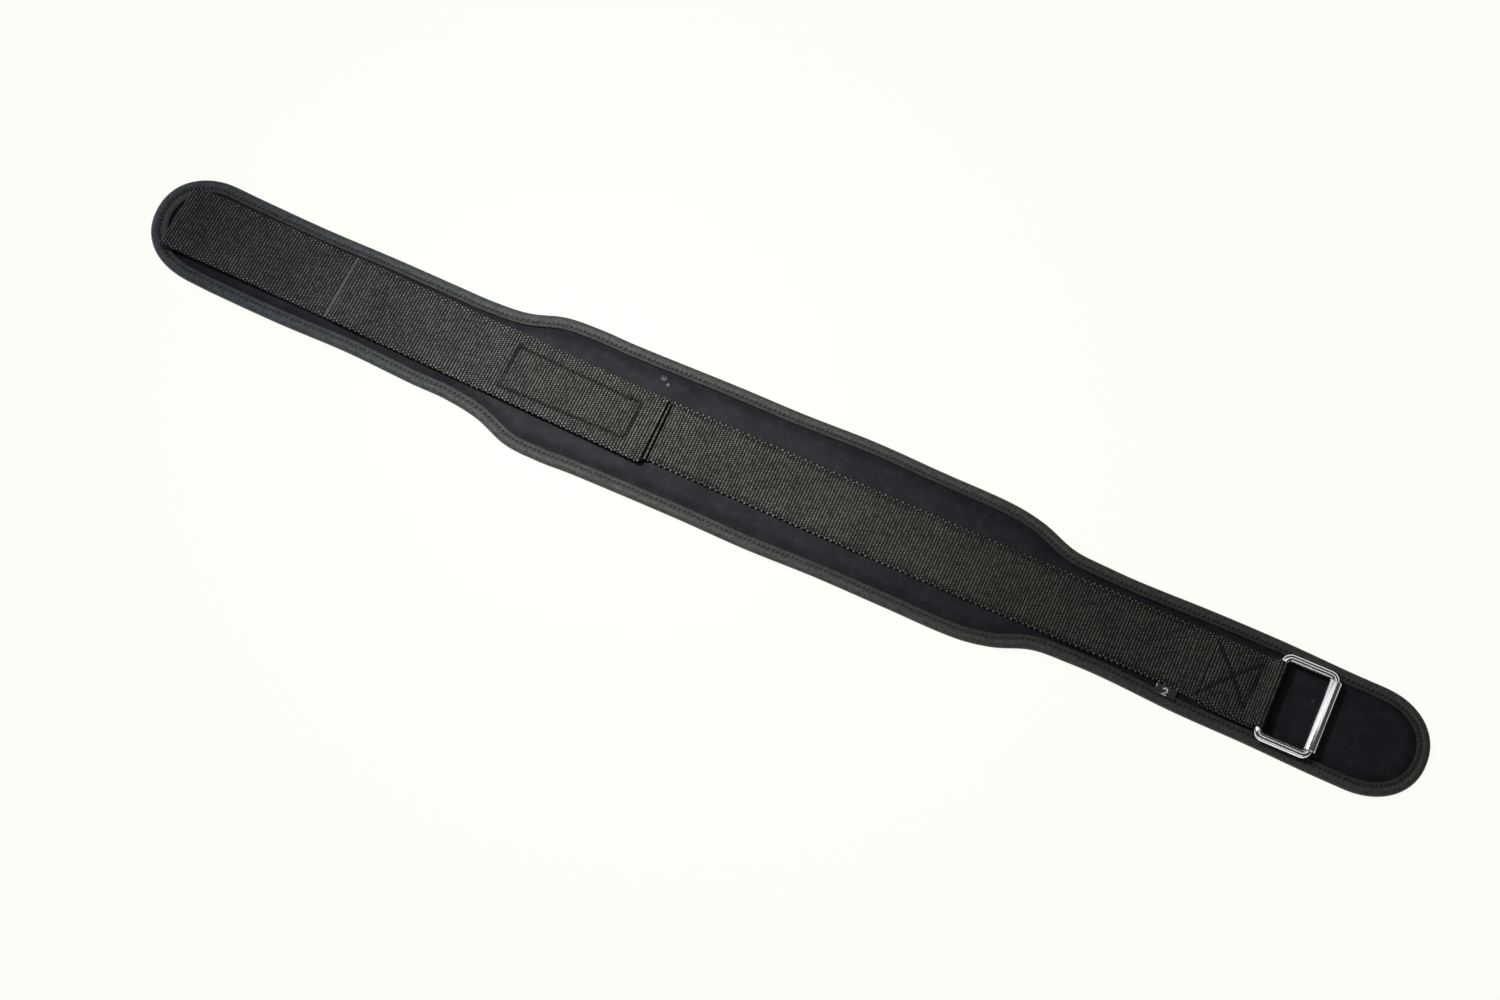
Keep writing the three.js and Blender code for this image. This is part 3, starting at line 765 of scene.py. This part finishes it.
def make_pad(outline, cloth):
    rim = BINDING_WALL + GAP
    stations = 420
    lines = 49
    turn = np.linspace(-math.pi / 2, math.pi / 2, stations)
    spread = 0.75 * np.linspace(-1, 1, stations) + 0.25 * np.sin(turn)
    x = spread * (HALF_LENGTH - rim - 0.2)
    straight = HALF_LENGTH - END_ROUND
    into_end = np.clip((np.abs(x * HALF_LENGTH / (HALF_LENGTH - rim)) - straight) / END_ROUND, 0, 1)
    share = (1 - into_end**END_POWER) ** (1 / END_POWER)
    half = np.maximum(half_width_at(x) * share - rim, 0.3)
    t = np.sin(np.linspace(-math.pi / 2, math.pi / 2, lines))
    gx = np.repeat(x[:, None], lines, 1)
    gy = middle_at(x)[:, None] + half[:, None] * t[None]
    depth = outline.depth(np.stack([gx, gy], -1).reshape(-1, 2)).reshape(gx.shape)
    high_rim = rim + RIM_THICKNESS
    round_in = eased((depth - rim) / 2)
    bound = BINDING_WIDTH + GAP + END_TAPE_EXTRA * extra_tape(gx)
    rise = 1 - (1 - np.clip((depth - bound) / PAD_CROWN, 0, 1)) ** 2.6
    middle = (rim + high_rim) / 2
    swollen = RIM_THICKNESS / 2 * (0.3 + 0.7 * round_in)
    top = middle + swollen + (PAD_THICKNESS - high_rim + pad_relief(gx, gy, depth)) * rise
    bottom = middle - swollen - rim * rise
    rings = np.concatenate([np.stack([gx, gy, top], -1), np.stack([gx, gy, bottom], -1)[:, ::-1]], 1)
    count = 2 * lines
    faces = grid_faces(stations, count, wrap_columns=True).tolist()
    last = (stations - 1) * count
    faces += [list(range(count))[::-1], [last + i for i in range(count)]]
    pad = add_mesh("pad_body", rings.reshape(-1, 3), faces, cloth, slot="pad_cloth")
    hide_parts("pad")


def pad_relief(x, y, depth):
    """Soft swells, small puckers along the binding, and the foam pressed down beside the strap."""
    form = strap_form_at(np.clip(x, FOLD_X, BAR_X))
    beside = np.abs(y - form["side"]) - form["width"] / 2
    covered = eased((BAR_X - x) / 12)
    pressed = -0.25 * np.exp(-((beside / 2.2) ** 2)) + 0.22 * np.exp(-(((beside - 6) / 3.5) ** 2))
    pucker = 0.12 * waves(x, y, 9, 21) * np.exp(-(((depth - 13) / 4) ** 2))
    return 0.16 * waves(x, y, 46, 22) + 0.05 * waves(x, y, 15, 23) + pressed * covered + pucker - 0.12


# Binding tape


def binding_section():
    """The tape's section from its lower inner edge round the rim, as inset and height, with rib strength,
    which also paints shade: low in the seam groove and at the inner edge.
    """
    middle = BINDING_HEIGHT / 2
    outer = []
    for degrees in (-90, -45, 0, 45, 90):
        turn = math.radians(degrees)
        outer.append((3 - 3 * math.cos(turn), middle + middle * math.sin(turn), 1))
    under = BINDING_HEIGHT - BINDING_WALL
    return np.array(
        [
            (BINDING_WIDTH, 0.25, 0),
            *outer,
            (4.7, BINDING_HEIGHT - 0.15, 1),
            (SEAM_INSET, BINDING_HEIGHT - SEAM_DEPTH, 0),
            (7.6, BINDING_HEIGHT - 0.2, 0.7),
            (8.8, BINDING_HEIGHT - 0.05, 0.6),
            (BINDING_WIDTH, BINDING_HEIGHT - 0.6, 0.1),
            (BINDING_WIDTH, under - 0.05, 0),
            (BINDING_WALL + 0.4, under - 0.1, 0),
            (BINDING_WALL + 0.4, BINDING_WALL + 0.1, 0),
            (BINDING_WIDTH, BINDING_WALL - 0.1, 0),
        ]
    )


# Heights of a rib's four steps, which also set its painted shade, darkest in the valley
RIB_PROFILE = (1, 0.5, 0, 0.5)
SEAM_PITCH = 3.4
SEAM_STITCH = 1.9
SEAM_SHADE = 0.4  # how pale the groove is painted between two stitches, where the ribs' crests are 1; at each stitch it stays dark, as painted shade in the pit
SEAM_RISE = 0.25  # how much higher it is there
END_TAPE_EXTRA = 3.2  # how much further in the tape reaches round the left end


END_TAPE_FROM = -438  # where it starts to, going left
END_TAPE_EASE = 14


def extra_tape(x):
    return eased((END_TAPE_FROM - x) / END_TAPE_EASE)


def make_binding(outline, tape, dark):
    section = binding_section()
    inset, height, strength = section.T
    step_in = np.roll(inset, -1) - np.roll(inset, 1)
    step_up = np.roll(height, -1) - np.roll(height, 1)
    size = np.hypot(step_in, step_up)
    out_in, out_up = -step_up / size, step_in / size
    run = np.concatenate([[0], np.cumsum(np.hypot(np.diff(inset), np.diff(height)))])
    ribs = round(outline.length / RIB_PITCH)
    count = ribs * len(RIB_PROFILE)
    along = np.arange(count) * outline.length / count
    rib = np.array(RIB_PROFILE)[np.arange(count) % len(RIB_PROFILE)]
    distance = along[:, None] + RIB_SLANT * run[None]
    lift = RIB_HEIGHT * (rib[:, None] - 0.6) * strength[None]
    middle, _ = outline.at(distance, np.zeros_like(distance))
    wider = END_TAPE_EXTRA * extra_tape(middle[..., 0]) * np.clip((inset[None] - SEAM_INSET) / 3, 0, 1)
    places, _ = outline.at(distance, inset[None] + wider + lift * out_in[None])
    swell = 0.12 * waves(places[..., 0], places[..., 1], 24, 31) * (strength[None] > 0)
    z = height[None] + lift * out_up[None] + swell * eased((height[None] - 3) / 2)
    turn = (distance - SEAM_STITCH / 2) * 2 * math.pi / seam_pitch(outline)
    between = (0.5 - 0.5 * np.cos(turn)) * (inset == SEAM_INSET)[None]
    z = np.maximum(z, 0) + SEAM_RISE * between
    points = np.concatenate([places, z[..., None]], -1)
    faces = grid_faces(count, len(section), wrap_rows=True, wrap_columns=True)
    # The weave mark paints shade: dark in the rib valleys, the seam groove and its stitch pits, and at the
    # inner edge
    marks = {"weave": (rib[:, None] * strength[None] + SEAM_SHADE * between).reshape(-1)}
    binding = add_mesh("binding_tape", points.reshape(-1, 3), faces, tape, slot="binding_tape", marks=marks)
    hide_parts("binding")
    threads = stitches(*binding_stitches(outline), radius=SEAM_THREAD_RADIUS)
    seam = add_mesh("binding_stitches", *threads, dark, slot="binding_tape")


# Stitches

STITCH_SIDES = 6
STITCH_STEPS = 5
THREAD_RADIUS = 0.27
BOX_THREAD_RADIUS = 0.34
SEAM_THREAD_RADIUS = 0.5

# Corners of the tail's box where its thread ends in a loose tangle
TANGLES = [(-193, 13), (-110, 11.5)]


def stitches(starts, ends, radius=THREAD_RADIUS, arch=0.18):
    """Short lengths of thread that dive at both ends, as points and faces."""
    starts = np.asarray(starts, float)
    ends = np.asarray(ends, float)
    t = np.linspace(0, 1, STITCH_STEPS)
    way = ends - starts
    flat = way / np.linalg.norm(way, axis=1, keepdims=True)
    side = np.cross(flat, (0, 0, 1))
    side /= np.linalg.norm(side, axis=1, keepdims=True)
    up = np.cross(side, flat)
    thick = radius * np.array([0.55, 0.95, 1, 0.95, 0.55])
    height = arch * np.sin(math.pi * t) - arch * 0.9
    middle = starts[:, None] + way[:, None] * t[None, :, None] + up[:, None] * height[None, :, None]
    turn = np.arange(STITCH_SIDES) * 2 * math.pi / STITCH_SIDES
    ring = side[:, None] * np.cos(turn)[None, :, None] + up[:, None] * np.sin(turn)[None, :, None]
    points = middle[:, :, None] + ring[:, None] * thick[None, :, None, None]
    per = STITCH_STEPS * STITCH_SIDES
    one = grid_faces(STITCH_STEPS, STITCH_SIDES, wrap_columns=True).tolist()
    one += [list(range(STITCH_SIDES))[::-1], [per - STITCH_SIDES + i for i in range(STITCH_SIDES)]]
    faces = [[i + n * per for i in face] for n in range(len(starts)) for face in one]
    return points.reshape(-1, 3), faces


def along_lines(lines, pitch, share, height, draw, wander=0.0):
    """The two ends of each stitch along straight lines, at a height that height(x, y) gives."""
    starts = []
    ends = []
    for a, b in lines:
        a = np.array(a, float)
        b = np.array(b, float)
        count = max(1, round(math.dist(a, b) / pitch))
        for i in range(count):
            for share_at, into in ((i / count, starts), ((i + share) / count, ends)):
                at = a + (b - a) * share_at + draw.normal(0, wander, 2)
                into.append((at[0], at[1], height(at[0], at[1])))
    return starts, ends


def tangled_thread(height, draw):
    """Short lengths of thread lying across each other."""
    starts = []
    ends = []
    for tangle in TANGLES:
        for _ in range(8):
            way = draw.uniform(0, 2 * math.pi)
            middle = np.array(tangle) + draw.normal(0, 0.9, 2)
            step = draw.uniform(0.9, 2.2) * np.array([math.cos(way), math.sin(way)])
            for at, into in ((middle - step, starts), (middle + step, ends)):
                into.append((at[0], at[1], height(at[0], at[1]) + 0.3))
    return starts, ends


def make_stitches(dark):
    draw = np.random.default_rng(41)

    def on(level, ribbon_relief, distance):
        top = level + WEBBING / 2 - 0.12

        def height(x, y):
            relief = ribbon_relief(np.array([x]), np.array([y]), np.array([distance]), np.array([1.0]))
            return top + float(relief[0])

        return height

    box = along_lines(X_BOX, BOX_PITCH, 0.82, on(ON_STRAP, loop_relief, 100), draw, 0.08)
    add_mesh("x_box_stitches", *stitches(*box, radius=BOX_THREAD_RADIUS), dark, slot="webbing")
    on_tail = on(ON_PATCH, tail_relief, 150)
    tail = along_lines(TAIL_BOX, TAIL_BOX_PITCH, 0.8, on_tail, draw, 0.3)
    tail = joined(tail, tangled_thread(on_tail, draw))
    add_mesh("tail_stitches", *stitches(*tail, radius=BOX_THREAD_RADIUS), dark, slot="webbing")
    lap = along_lines(LAP_SEAM, SHORT_PITCH, 0.8, on(ON_LAP, tail_relief, 3), draw, 0.05)
    hem = along_lines(HEM_SEAM, SHORT_PITCH, 0.8, on(ON_PATCH, tail_relief, 230), draw, 0.05)
    add_mesh("seam_stitches", *stitches(*joined(lap, hem)), dark, slot="webbing")
    add_mesh("strap_stitches", *stitches(*strap_edge_stitches()), dark, slot="webbing")


def joined(one, other):
    """The starts and the ends of two sets of stitches, as one set."""
    return one[0] + other[0], one[1] + other[1]


def strap_edge_stitches():
    starts = []
    ends = []
    for sign in (-1, 1):
        x = np.arange(FOLD_X + 6, LANDING_X, EDGE_PITCH)
        for shift, into in ((0, starts), (3.0, ends)):
            form = strap_form_at(x + shift)
            y = form["side"] + sign * (form["width"] / 2 - EDGE_SEAM)
            z = ON_PAD + WEBBING / 2 - 0.12 + sewn_relief(x + shift, y, x, np.ones_like(x))
            into += np.stack([x + shift, y, z], 1).tolist()
    return starts, ends


def seam_pitch(outline):
    """The pitch of the rim's stitches that divides the outline evenly."""
    return outline.length / round(outline.length / SEAM_PITCH)


def binding_stitches(outline):
    count = round(outline.length / seam_pitch(outline))
    along = np.arange(count) * seam_pitch(outline)
    made = []
    for shift in (0, SEAM_STITCH):
        places, _ = outline.at(along + shift, np.full(count, SEAM_INSET))
        z = np.full(count, BINDING_HEIGHT - SEAM_DEPTH + 0.4)
        made.append(np.column_stack([places, z]))
    return made


# Size label


def label_low(reach):
    """Height of the label's underside at a distance out from the strap's edge."""
    t = eased(reach / LABEL_REACH * 1.1)
    return (PAD_THICKNESS + 0.1) * (1 - t) + (BINDING_HEIGHT + 0.35) * t


def make_label(satin, light):
    across = 15
    down = 9
    u = np.linspace(-0.5, 0.5, across)
    v = np.linspace(0, 1, down)
    reach = LABEL_REACH * v - LABEL_TUCK * (1 - v)
    gx = LABEL_X + LABEL_WIDTH * u[:, None] + 0.25 * v[None]
    edge = strap_form_at(gx)["side"] - strap_form_at(gx)["width"] / 2
    strap_edge = float(edge.min())
    gy = strap_edge - reach[None] + 0.25 * np.sin(3 * u[:, None])
    low = label_low(reach)[None] + 0.12 * np.sin(6 * u[:, None] + 2 * v[None])
    top = np.stack([gx, gy, low + LABEL_THICKNESS], -1)
    under = np.stack([gx, gy, low], -1)[:, ::-1]
    rings = np.concatenate([top, under], 1)
    count = 2 * down
    faces = grid_faces(across, count, wrap_columns=True)[:, ::-1].tolist()
    last = (across - 1) * count
    faces += [list(range(count)), [last + i for i in range(count)][::-1]]
    label = add_mesh("label_tab", rings.reshape(-1, 3), faces, satin, slot="label_satin")
    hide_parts("size_label")
    number = make_numeral(light, strap_edge)
    tack_x = LABEL_X - LABEL_WIDTH / 2 + 0.6
    ends = ([(tack_x, strap_edge + 0.2, 9.2)], [(tack_x + 0.3, strap_edge - 2.2, 9.0)])
    tack = add_mesh("label_tack", *stitches(*ends, radius=0.32), light, slot="label_satin")


def make_numeral(light, strap_edge):
    """A plain 2 in raised thread, as one flat stroke."""
    turn = np.radians(np.linspace(15, 215, 12))
    bowl = np.stack([-1.6 * np.cos(turn), 3.1 + 1.4 * np.sin(turn)], 1)
    stroke = np.vstack([bowl, [(-1.6, 0.4), (1.75, 0.4)]])
    way = np.gradient(stroke, axis=0)
    way /= np.linalg.norm(way, axis=1)[:, None]
    side = np.stack([-way[:, 1], way[:, 0]], 1) * 0.58
    base = LABEL_REACH - 0.4

    def lifted(flat, lift):
        reach = base - flat[:, 1]
        z = label_low(reach) + LABEL_THICKNESS + lift
        return np.stack([LABEL_X - 0.3 + flat[:, 0], strap_edge - reach, z], 1)

    rings = np.stack(
        [
            lifted(stroke + side, -0.15),
            lifted(stroke + 0.8 * side, 0.2),
            lifted(stroke - 0.8 * side, 0.2),
            lifted(stroke - side, -0.15),
        ],
        1,
    )
    count = len(stroke)
    faces = grid_faces(count, 4, wrap_columns=True).tolist()
    faces += [[3, 2, 1, 0], [4 * count - 4, 4 * count - 3, 4 * count - 2, 4 * count - 1]]
    return add_mesh("label_numeral", rings.reshape(-1, 3), faces, light, slot="label_satin")


# Buckle


def in_buckle(points):
    """Points of the buckle's own frame, whose origin is the middle of the strap's bar."""
    yaw = math.radians(BUCKLE_YAW)
    turn = np.array([[math.cos(yaw), -math.sin(yaw), 0], [math.sin(yaw), math.cos(yaw), 0], [0, 0, 1]])
    return points @ turn.T + np.array([BAR_X, BUCKLE_SIDE, BUCKLE_Z])


def make_buckle_frame(steel):
    half = BUCKLE_INSIDE / 2 + BAR_RADIUS
    reach = BUCKLE_REACH - BUCKLE_CORNER
    corners = [
        (reach, -half + BUCKLE_CORNER, -90),
        (reach, half - BUCKLE_CORNER, 0),
        (BUCKLE_CORNER, half - BUCKLE_CORNER, 90),
        (BUCKLE_CORNER, -half + BUCKLE_CORNER, 180),
    ]
    places = []
    outs = []
    for x, y, start in corners:
        for turn in np.radians(np.linspace(start, start + 90, 13)):
            out = np.array([math.cos(turn), math.sin(turn)])
            places.append(np.array([x, y]) + BUCKLE_CORNER * out)
            outs.append(out)
    places = np.array(places)
    outs = np.array(outs)
    sides = 32
    turn = np.arange(sides) * 2 * math.pi / sides
    flat = places[:, None] + BAR_RADIUS * np.cos(turn)[None, :, None] * outs[:, None]
    z = np.broadcast_to(BAR_RADIUS * np.sin(turn)[None, :, None], flat[..., :1].shape)
    points = in_buckle(np.concatenate([flat, z], -1).reshape(-1, 3))
    faces = grid_faces(len(places), sides, wrap_rows=True, wrap_columns=True)[:, ::-1]
    piece = add_mesh("buckle_wire", points, faces, steel, body="buckle", slot="bright_steel")
    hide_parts("buckle_frame")


def make_roller(steel):
    half = (BUCKLE_INSIDE - ROLLER_ROOM) / 2
    lip = 0.55
    quarter = np.radians(np.linspace(0, 90, 6))
    end = [(ROLLER_RADIUS - lip + lip * math.sin(a), half - lip + lip * math.cos(a)) for a in quarter]
    inner = [(ROLLER_BORE + 0.2 - 0.2 * math.sin(a), half - 0.2 + 0.2 * math.cos(a)) for a in quarter[::-1]]
    upper = inner + end
    profile = np.array(upper + [(r, -y) for r, y in upper[::-1]])
    sides = 72
    turn = np.arange(sides) * 2 * math.pi / sides
    x = BUCKLE_REACH + profile[None, :, 0] * np.cos(turn)[:, None]
    z = profile[None, :, 0] * np.sin(turn)[:, None]
    y = np.broadcast_to(profile[None, :, 1], x.shape)
    points = in_buckle(np.stack([x, y, z], -1).reshape(-1, 3))
    faces = grid_faces(sides, len(profile), wrap_rows=True, wrap_columns=True)
    piece = add_mesh("roller_tube", points, faces, steel, body="roller", slot="bright_steel")
    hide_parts("buckle_roller")


# Materials


class Finish:
    """A material with short ways to add and join nodes."""

    def __init__(self, name, **values):
        self.material = bpy.data.materials.new(name)
        self.material.use_nodes = True
        self.tree = self.material.node_tree
        self.shader = self.tree.nodes["Principled BSDF"]
        for socket, value in values.items():
            self.shader.inputs[socket.replace("_", " ")].default_value = value

    def node(self, kind, inputs=None, **settings):
        made = self.tree.nodes.new(kind)
        for key, value in settings.items():
            setattr(made, key, value)
        for key, value in (inputs or {}).items():
            self.put(made.inputs[key], value)
        return made

    def put(self, socket, value):
        if isinstance(value, bpy.types.NodeSocket):
            self.tree.links.new(value, socket)
        else:
            socket.default_value = value

    def mark(self, name):
        return self.node("ShaderNodeAttribute", attribute_name=name).outputs["Fac"]

    def places(self):
        return self.node("ShaderNodeTexCoord").outputs["Object"]

    def leftward(self):
        """0 over most of the belt, rising to 1 at its left end, where the colours are mixed bluer."""
        place = self.node("ShaderNodeSeparateXYZ", {0: self.places()}).outputs[0]
        return self.range(place, -0.1, -0.42)

    def noise(self, size, detail=3, stretch=(1, 1, 1), roughness=0.55):
        """Noise whose features are about size millimetres, drawn out by stretch."""
        scaled = self.node(
            "ShaderNodeVectorMath",
            {0: self.places(), 1: [1 / s for s in stretch]},
            operation="MULTIPLY",
        ).outputs[0]
        inputs = {"Vector": scaled, "Scale": 1 / (size * MM), "Detail": detail, "Roughness": roughness}
        return self.node("ShaderNodeTexNoise", inputs).outputs["Fac"]

    def range(self, value, start, end, low=0.0, high=1.0):
        inputs = {"Value": value, "From Min": start, "From Max": end, "To Min": low, "To Max": high}
        return self.node("ShaderNodeMapRange", inputs).outputs["Result"]

    def maths(self, operation, a, b):
        return self.node("ShaderNodeMath", {0: a, 1: b}, operation=operation).outputs[0]

    def mix(self, share, a, b):
        made = self.node("ShaderNodeMix", data_type="RGBA")
        self.put(made.inputs[0], share)
        self.put(made.inputs[6], a)
        self.put(made.inputs[7], b)
        return made.outputs[2]

    def bump(self, height, distance, strength=1.0, normal=None):
        inputs = {"Height": height, "Distance": distance * MM, "Strength": strength}
        if normal:
            inputs["Normal"] = normal
        return self.node("ShaderNodeBump", inputs).outputs["Normal"]

    def use(self, **values):
        for socket, value in values.items():
            self.put(self.shader.inputs[socket.replace("_", " ")], value)
        return self.material


def webbing_finish():
    """Black woven webbing, painted dark between its grains as shade and paler on their crests as a
    highlight, and slightly glossy.
    """
    finish = Finish("webbing", Specular_IOR_Level=0.22)
    # crest carries the painted shade between the grains and the painted highlight on their tops
    crest = finish.range(finish.mark("weave"), 0.45, 1)
    tone = finish.range(finish.mark("tone"), 0, 1, 0.5, 1.4)
    blotch = finish.range(finish.noise(34, 2), 0.3, 0.7, 0.8, 1.2)
    share = finish.maths("MULTIPLY", finish.maths("MULTIPLY", crest, tone), blotch)
    light = finish.mix(finish.leftward(), (0.14, 0.146, 0.123, 1), (0.12, 0.131, 0.133, 1))
    colour = finish.mix(share, (0.0012, 0.0012, 0.001, 1), light)
    fibre = finish.noise(0.22, 2, stretch=(5, 1, 1))
    rough = finish.range(crest, 0, 1, 0.9, 0.46)
    return finish.use(Base_Color=colour, Roughness=rough, Normal=finish.bump(fibre, 0.04, 0.4))


def binding_finish():
    finish = Finish("binding_tape", Specular_IOR_Level=0.25)
    # crest carries painted shade, dark in the tape's rib valleys, seam groove, stitch pits and inner edge
    crest = finish.mark("weave")
    dark = (0.002, 0.0022, 0.002, 1)
    light = finish.mix(finish.leftward(), (0.12, 0.127, 0.114, 1), (0.13, 0.15, 0.17, 1))
    share = finish.maths("MULTIPLY", crest, finish.range(finish.noise(2.2, 3), 0.3, 0.7, 0.45, 1.1))
    colour = finish.mix(share, dark, light)
    fibre = finish.noise(0.3, 2)
    return finish.use(Base_Color=colour, Roughness=0.55, Normal=finish.bump(fibre, 0.06, 0.5))


def pad_finish():
    finish = Finish("pad_cloth", Specular_IOR_Level=0.12, Sheen_Weight=0.03, Sheen_Roughness=0.5)
    cloud = finish.range(finish.noise(30, 3), 0.3, 0.7)
    base = finish.mix(cloud, (0.011, 0.0102, 0.0145, 1), (0.018, 0.0168, 0.0222, 1))
    bloom = finish.range(finish.noise(7, 4), 0.48, 0.7, 0, 0.5)
    base = finish.mix(bloom, base, (0.029, 0.028, 0.034, 1))
    colour = finish.mix(lint_spots(finish), base, (0.3, 0.29, 0.28, 1))
    knit = finish.noise(0.7, 3, roughness=0.7)
    nap = finish.noise(3.5, 3, stretch=(2.2, 1, 1))
    normal = finish.bump(knit, 0.14, 0.6)
    normal = finish.bump(nap, 0.25, 0.35, normal)
    return finish.use(Base_Color=colour, Roughness=0.62, Normal=normal)


# Lint on the pad's face, as the middle and reach of each patch and how much of it is covered
LINT = [
    {"at": (-96.5, 34), "reach": 2.6, "cover": 0.45},
    {"at": (-92, 30.5), "reach": 1.6, "cover": 0.45},
    {"at": (379.8, 6.9), "reach": 0.7, "cover": 0.9},
]


def lint_spots(finish):
    """1 on specks of lint, which are grains of noise inside each patch."""
    grains = finish.noise(0.55, 1)
    total = 0
    for patch in LINT:
        middle = (patch["at"][0] * MM, patch["at"][1] * MM, PAD_THICKNESS * MM)
        away = finish.node("ShaderNodeVectorMath", {0: finish.places(), 1: middle}, operation="DISTANCE")
        inside = finish.range(away.outputs["Value"], patch["reach"] * MM, 0.4 * patch["reach"] * MM)
        edge = 0.5 + 0.3 * (0.5 - patch["cover"])
        spots = finish.maths("MULTIPLY", inside, finish.range(grains, edge, edge + 0.06))
        total = finish.maths("MAXIMUM", total, spots)
    return total


def thread_finish():
    finish = Finish("thread", Specular_IOR_Level=0.3)
    twist = finish.noise(0.5, 2)
    colour = finish.mix(twist, (0.004, 0.004, 0.004, 1), (0.012, 0.012, 0.011, 1))
    return finish.use(Base_Color=colour, Roughness=0.6, Normal=finish.bump(twist, 0.06, 0.6))


def satin_finish():
    finish = Finish("label_satin", Specular_IOR_Level=0.5, Sheen_Weight=0.1)
    fibre = finish.noise(0.35, 2, stretch=(1, 4, 1))
    colour = finish.mix(fibre, (0.01, 0.01, 0.013, 1), (0.035, 0.035, 0.042, 1))
    return finish.use(Base_Color=colour, Roughness=0.5, Normal=finish.bump(fibre, 0.06, 0.5))


def light_thread_finish():
    finish = Finish("light_thread", Specular_IOR_Level=0.3)
    fibre = finish.noise(0.4, 2, stretch=(3, 1, 1))
    colour = finish.mix(fibre, (0.6, 0.6, 0.58, 1), (0.85, 0.85, 0.83, 1))
    return finish.use(Base_Color=colour, Roughness=0.7, Normal=finish.bump(fibre, 0.06, 0.5))


def steel_finish():
    finish = Finish("bright_steel", Metallic=1)
    haze = finish.noise(9, 4)
    fine = finish.noise(0.6, 3, stretch=(1, 6, 1))
    colour = finish.mix(finish.range(haze, 0.35, 0.65), (0.78, 0.8, 0.82, 1), (0.9, 0.91, 0.92, 1))
    rough = finish.range(haze, 0.3, 0.7, 0.1, 0.22)
    return finish.use(Base_Color=colour, Roughness=rough, Normal=finish.bump(fine, 0.01, 0.25))


# Floor and light

FLOOR_SIZE = 6
FLOOR_DROP = 0.0002  # keeps it from sharing the belt's underside
FLOOR_GLOW = (0.945, 0.955, 0.9, 1)
FLOOR_COLOUR = (0.06, 0.06, 0.057, 1)


def make_floor():
    """A pale floor that glows like a light table, so that shadows on it are faint."""
    finish = Finish("floor", Roughness=1, Specular_IOR_Level=0, Emission_Strength=1)
    finish.use(Base_Color=FLOOR_COLOUR, Emission_Color=FLOOR_GLOW)
    half = FLOOR_SIZE / 2
    corners = [(-half, -half), (half, -half), (half, half), (-half, half)]
    mesh = bpy.data.meshes.new("floor")
    mesh.from_pydata([(x, y, -FLOOR_DROP) for x, y in corners], [], [(0, 1, 2, 3)])
    mesh.materials.append(finish.material)
    floor = bpy.data.objects.new("floor", mesh)
    bpy.context.scene.collection.objects.link(floor)


# Softboxes, placed in metres. Brightness is how strongly each one's face glows
SOFTBOXES = [
    {"name": "left_wall", "at": (-5, 1.25, 2.3), "aim": (0, 0, 0), "size": (3.6, 3.9), "brightness": 0.8},
    {"name": "above", "at": (-0.1, 0.48, 1.5), "aim": (-0.1, 0.3, 0), "size": (2.2, 0.45), "brightness": 1},
    {"name": "near_strip", "at": (0.3, -1.6, 0.9), "aim": (0, 0, 0), "size": (1.8, 0.3), "brightness": 2},
]
# The key light is a soft spot, brightest left of the middle
KEY = {"at": (-0.9, 0.1, 1.5), "aim": (-0.115, 0, 0), "power": 133, "angle": 18.5, "radius": 0.12}
# A weaker light from far off on the same side, which throws the short shadows to the right
FILL = {"at": (-0.8, 0.1, 1.1), "strength": 0.95, "spread": 6}


def aim_light(name, data, at, aim):
    light = bpy.data.objects.new(name, data)
    light.location = at
    light.rotation_euler = (Vector(aim) - Vector(at)).to_track_quat("-Z", "Y").to_euler()
    light.visible_camera = False
    bpy.context.scene.collection.objects.link(light)


def make_light():
    world = bpy.data.worlds.new("studio")
    world.use_nodes = True
    background = world.node_tree.nodes["Background"]
    background.inputs["Color"].default_value = (0.92, 0.96, 1, 1)
    background.inputs["Strength"].default_value = 0.06
    bpy.context.scene.world = world
    for softbox in SOFTBOXES:
        data = bpy.data.lights.new(softbox["name"], "AREA")
        data.shape = "RECTANGLE"
        data.size, data.size_y = softbox["size"]
        data.energy = softbox["brightness"] * math.pi * data.size * data.size_y
        aim_light(softbox["name"], data, softbox["at"], softbox["aim"])
    key = bpy.data.lights.new("key", "SPOT")
    key.energy = KEY["power"]
    key.spot_size = math.radians(KEY["angle"])
    key.spot_blend = 1
    key.shadow_soft_size = KEY["radius"]
    aim_light("key", key, KEY["at"], KEY["aim"])
    fill = bpy.data.lights.new("fill", "SUN")
    fill.energy = FILL["strength"]
    fill.angle = math.radians(FILL["spread"])
    aim_light("fill", fill, FILL["at"], (0, 0, 0))
    bpy.context.scene.view_settings.view_transform = "Standard"


def build():
    place_camera()
    outline = Outline()
    make_pad(outline, pad_finish())
    dark = thread_finish()
    make_binding(outline, binding_finish(), dark)
    make_straps(webbing_finish())
    make_stitches(dark)
    make_label(satin_finish(), light_thread_finish())
    steel = steel_finish()
    make_buckle_frame(steel)
    make_roller(steel)
    make_floor()
    make_light()


build()
bpy.context.view_layer.update()
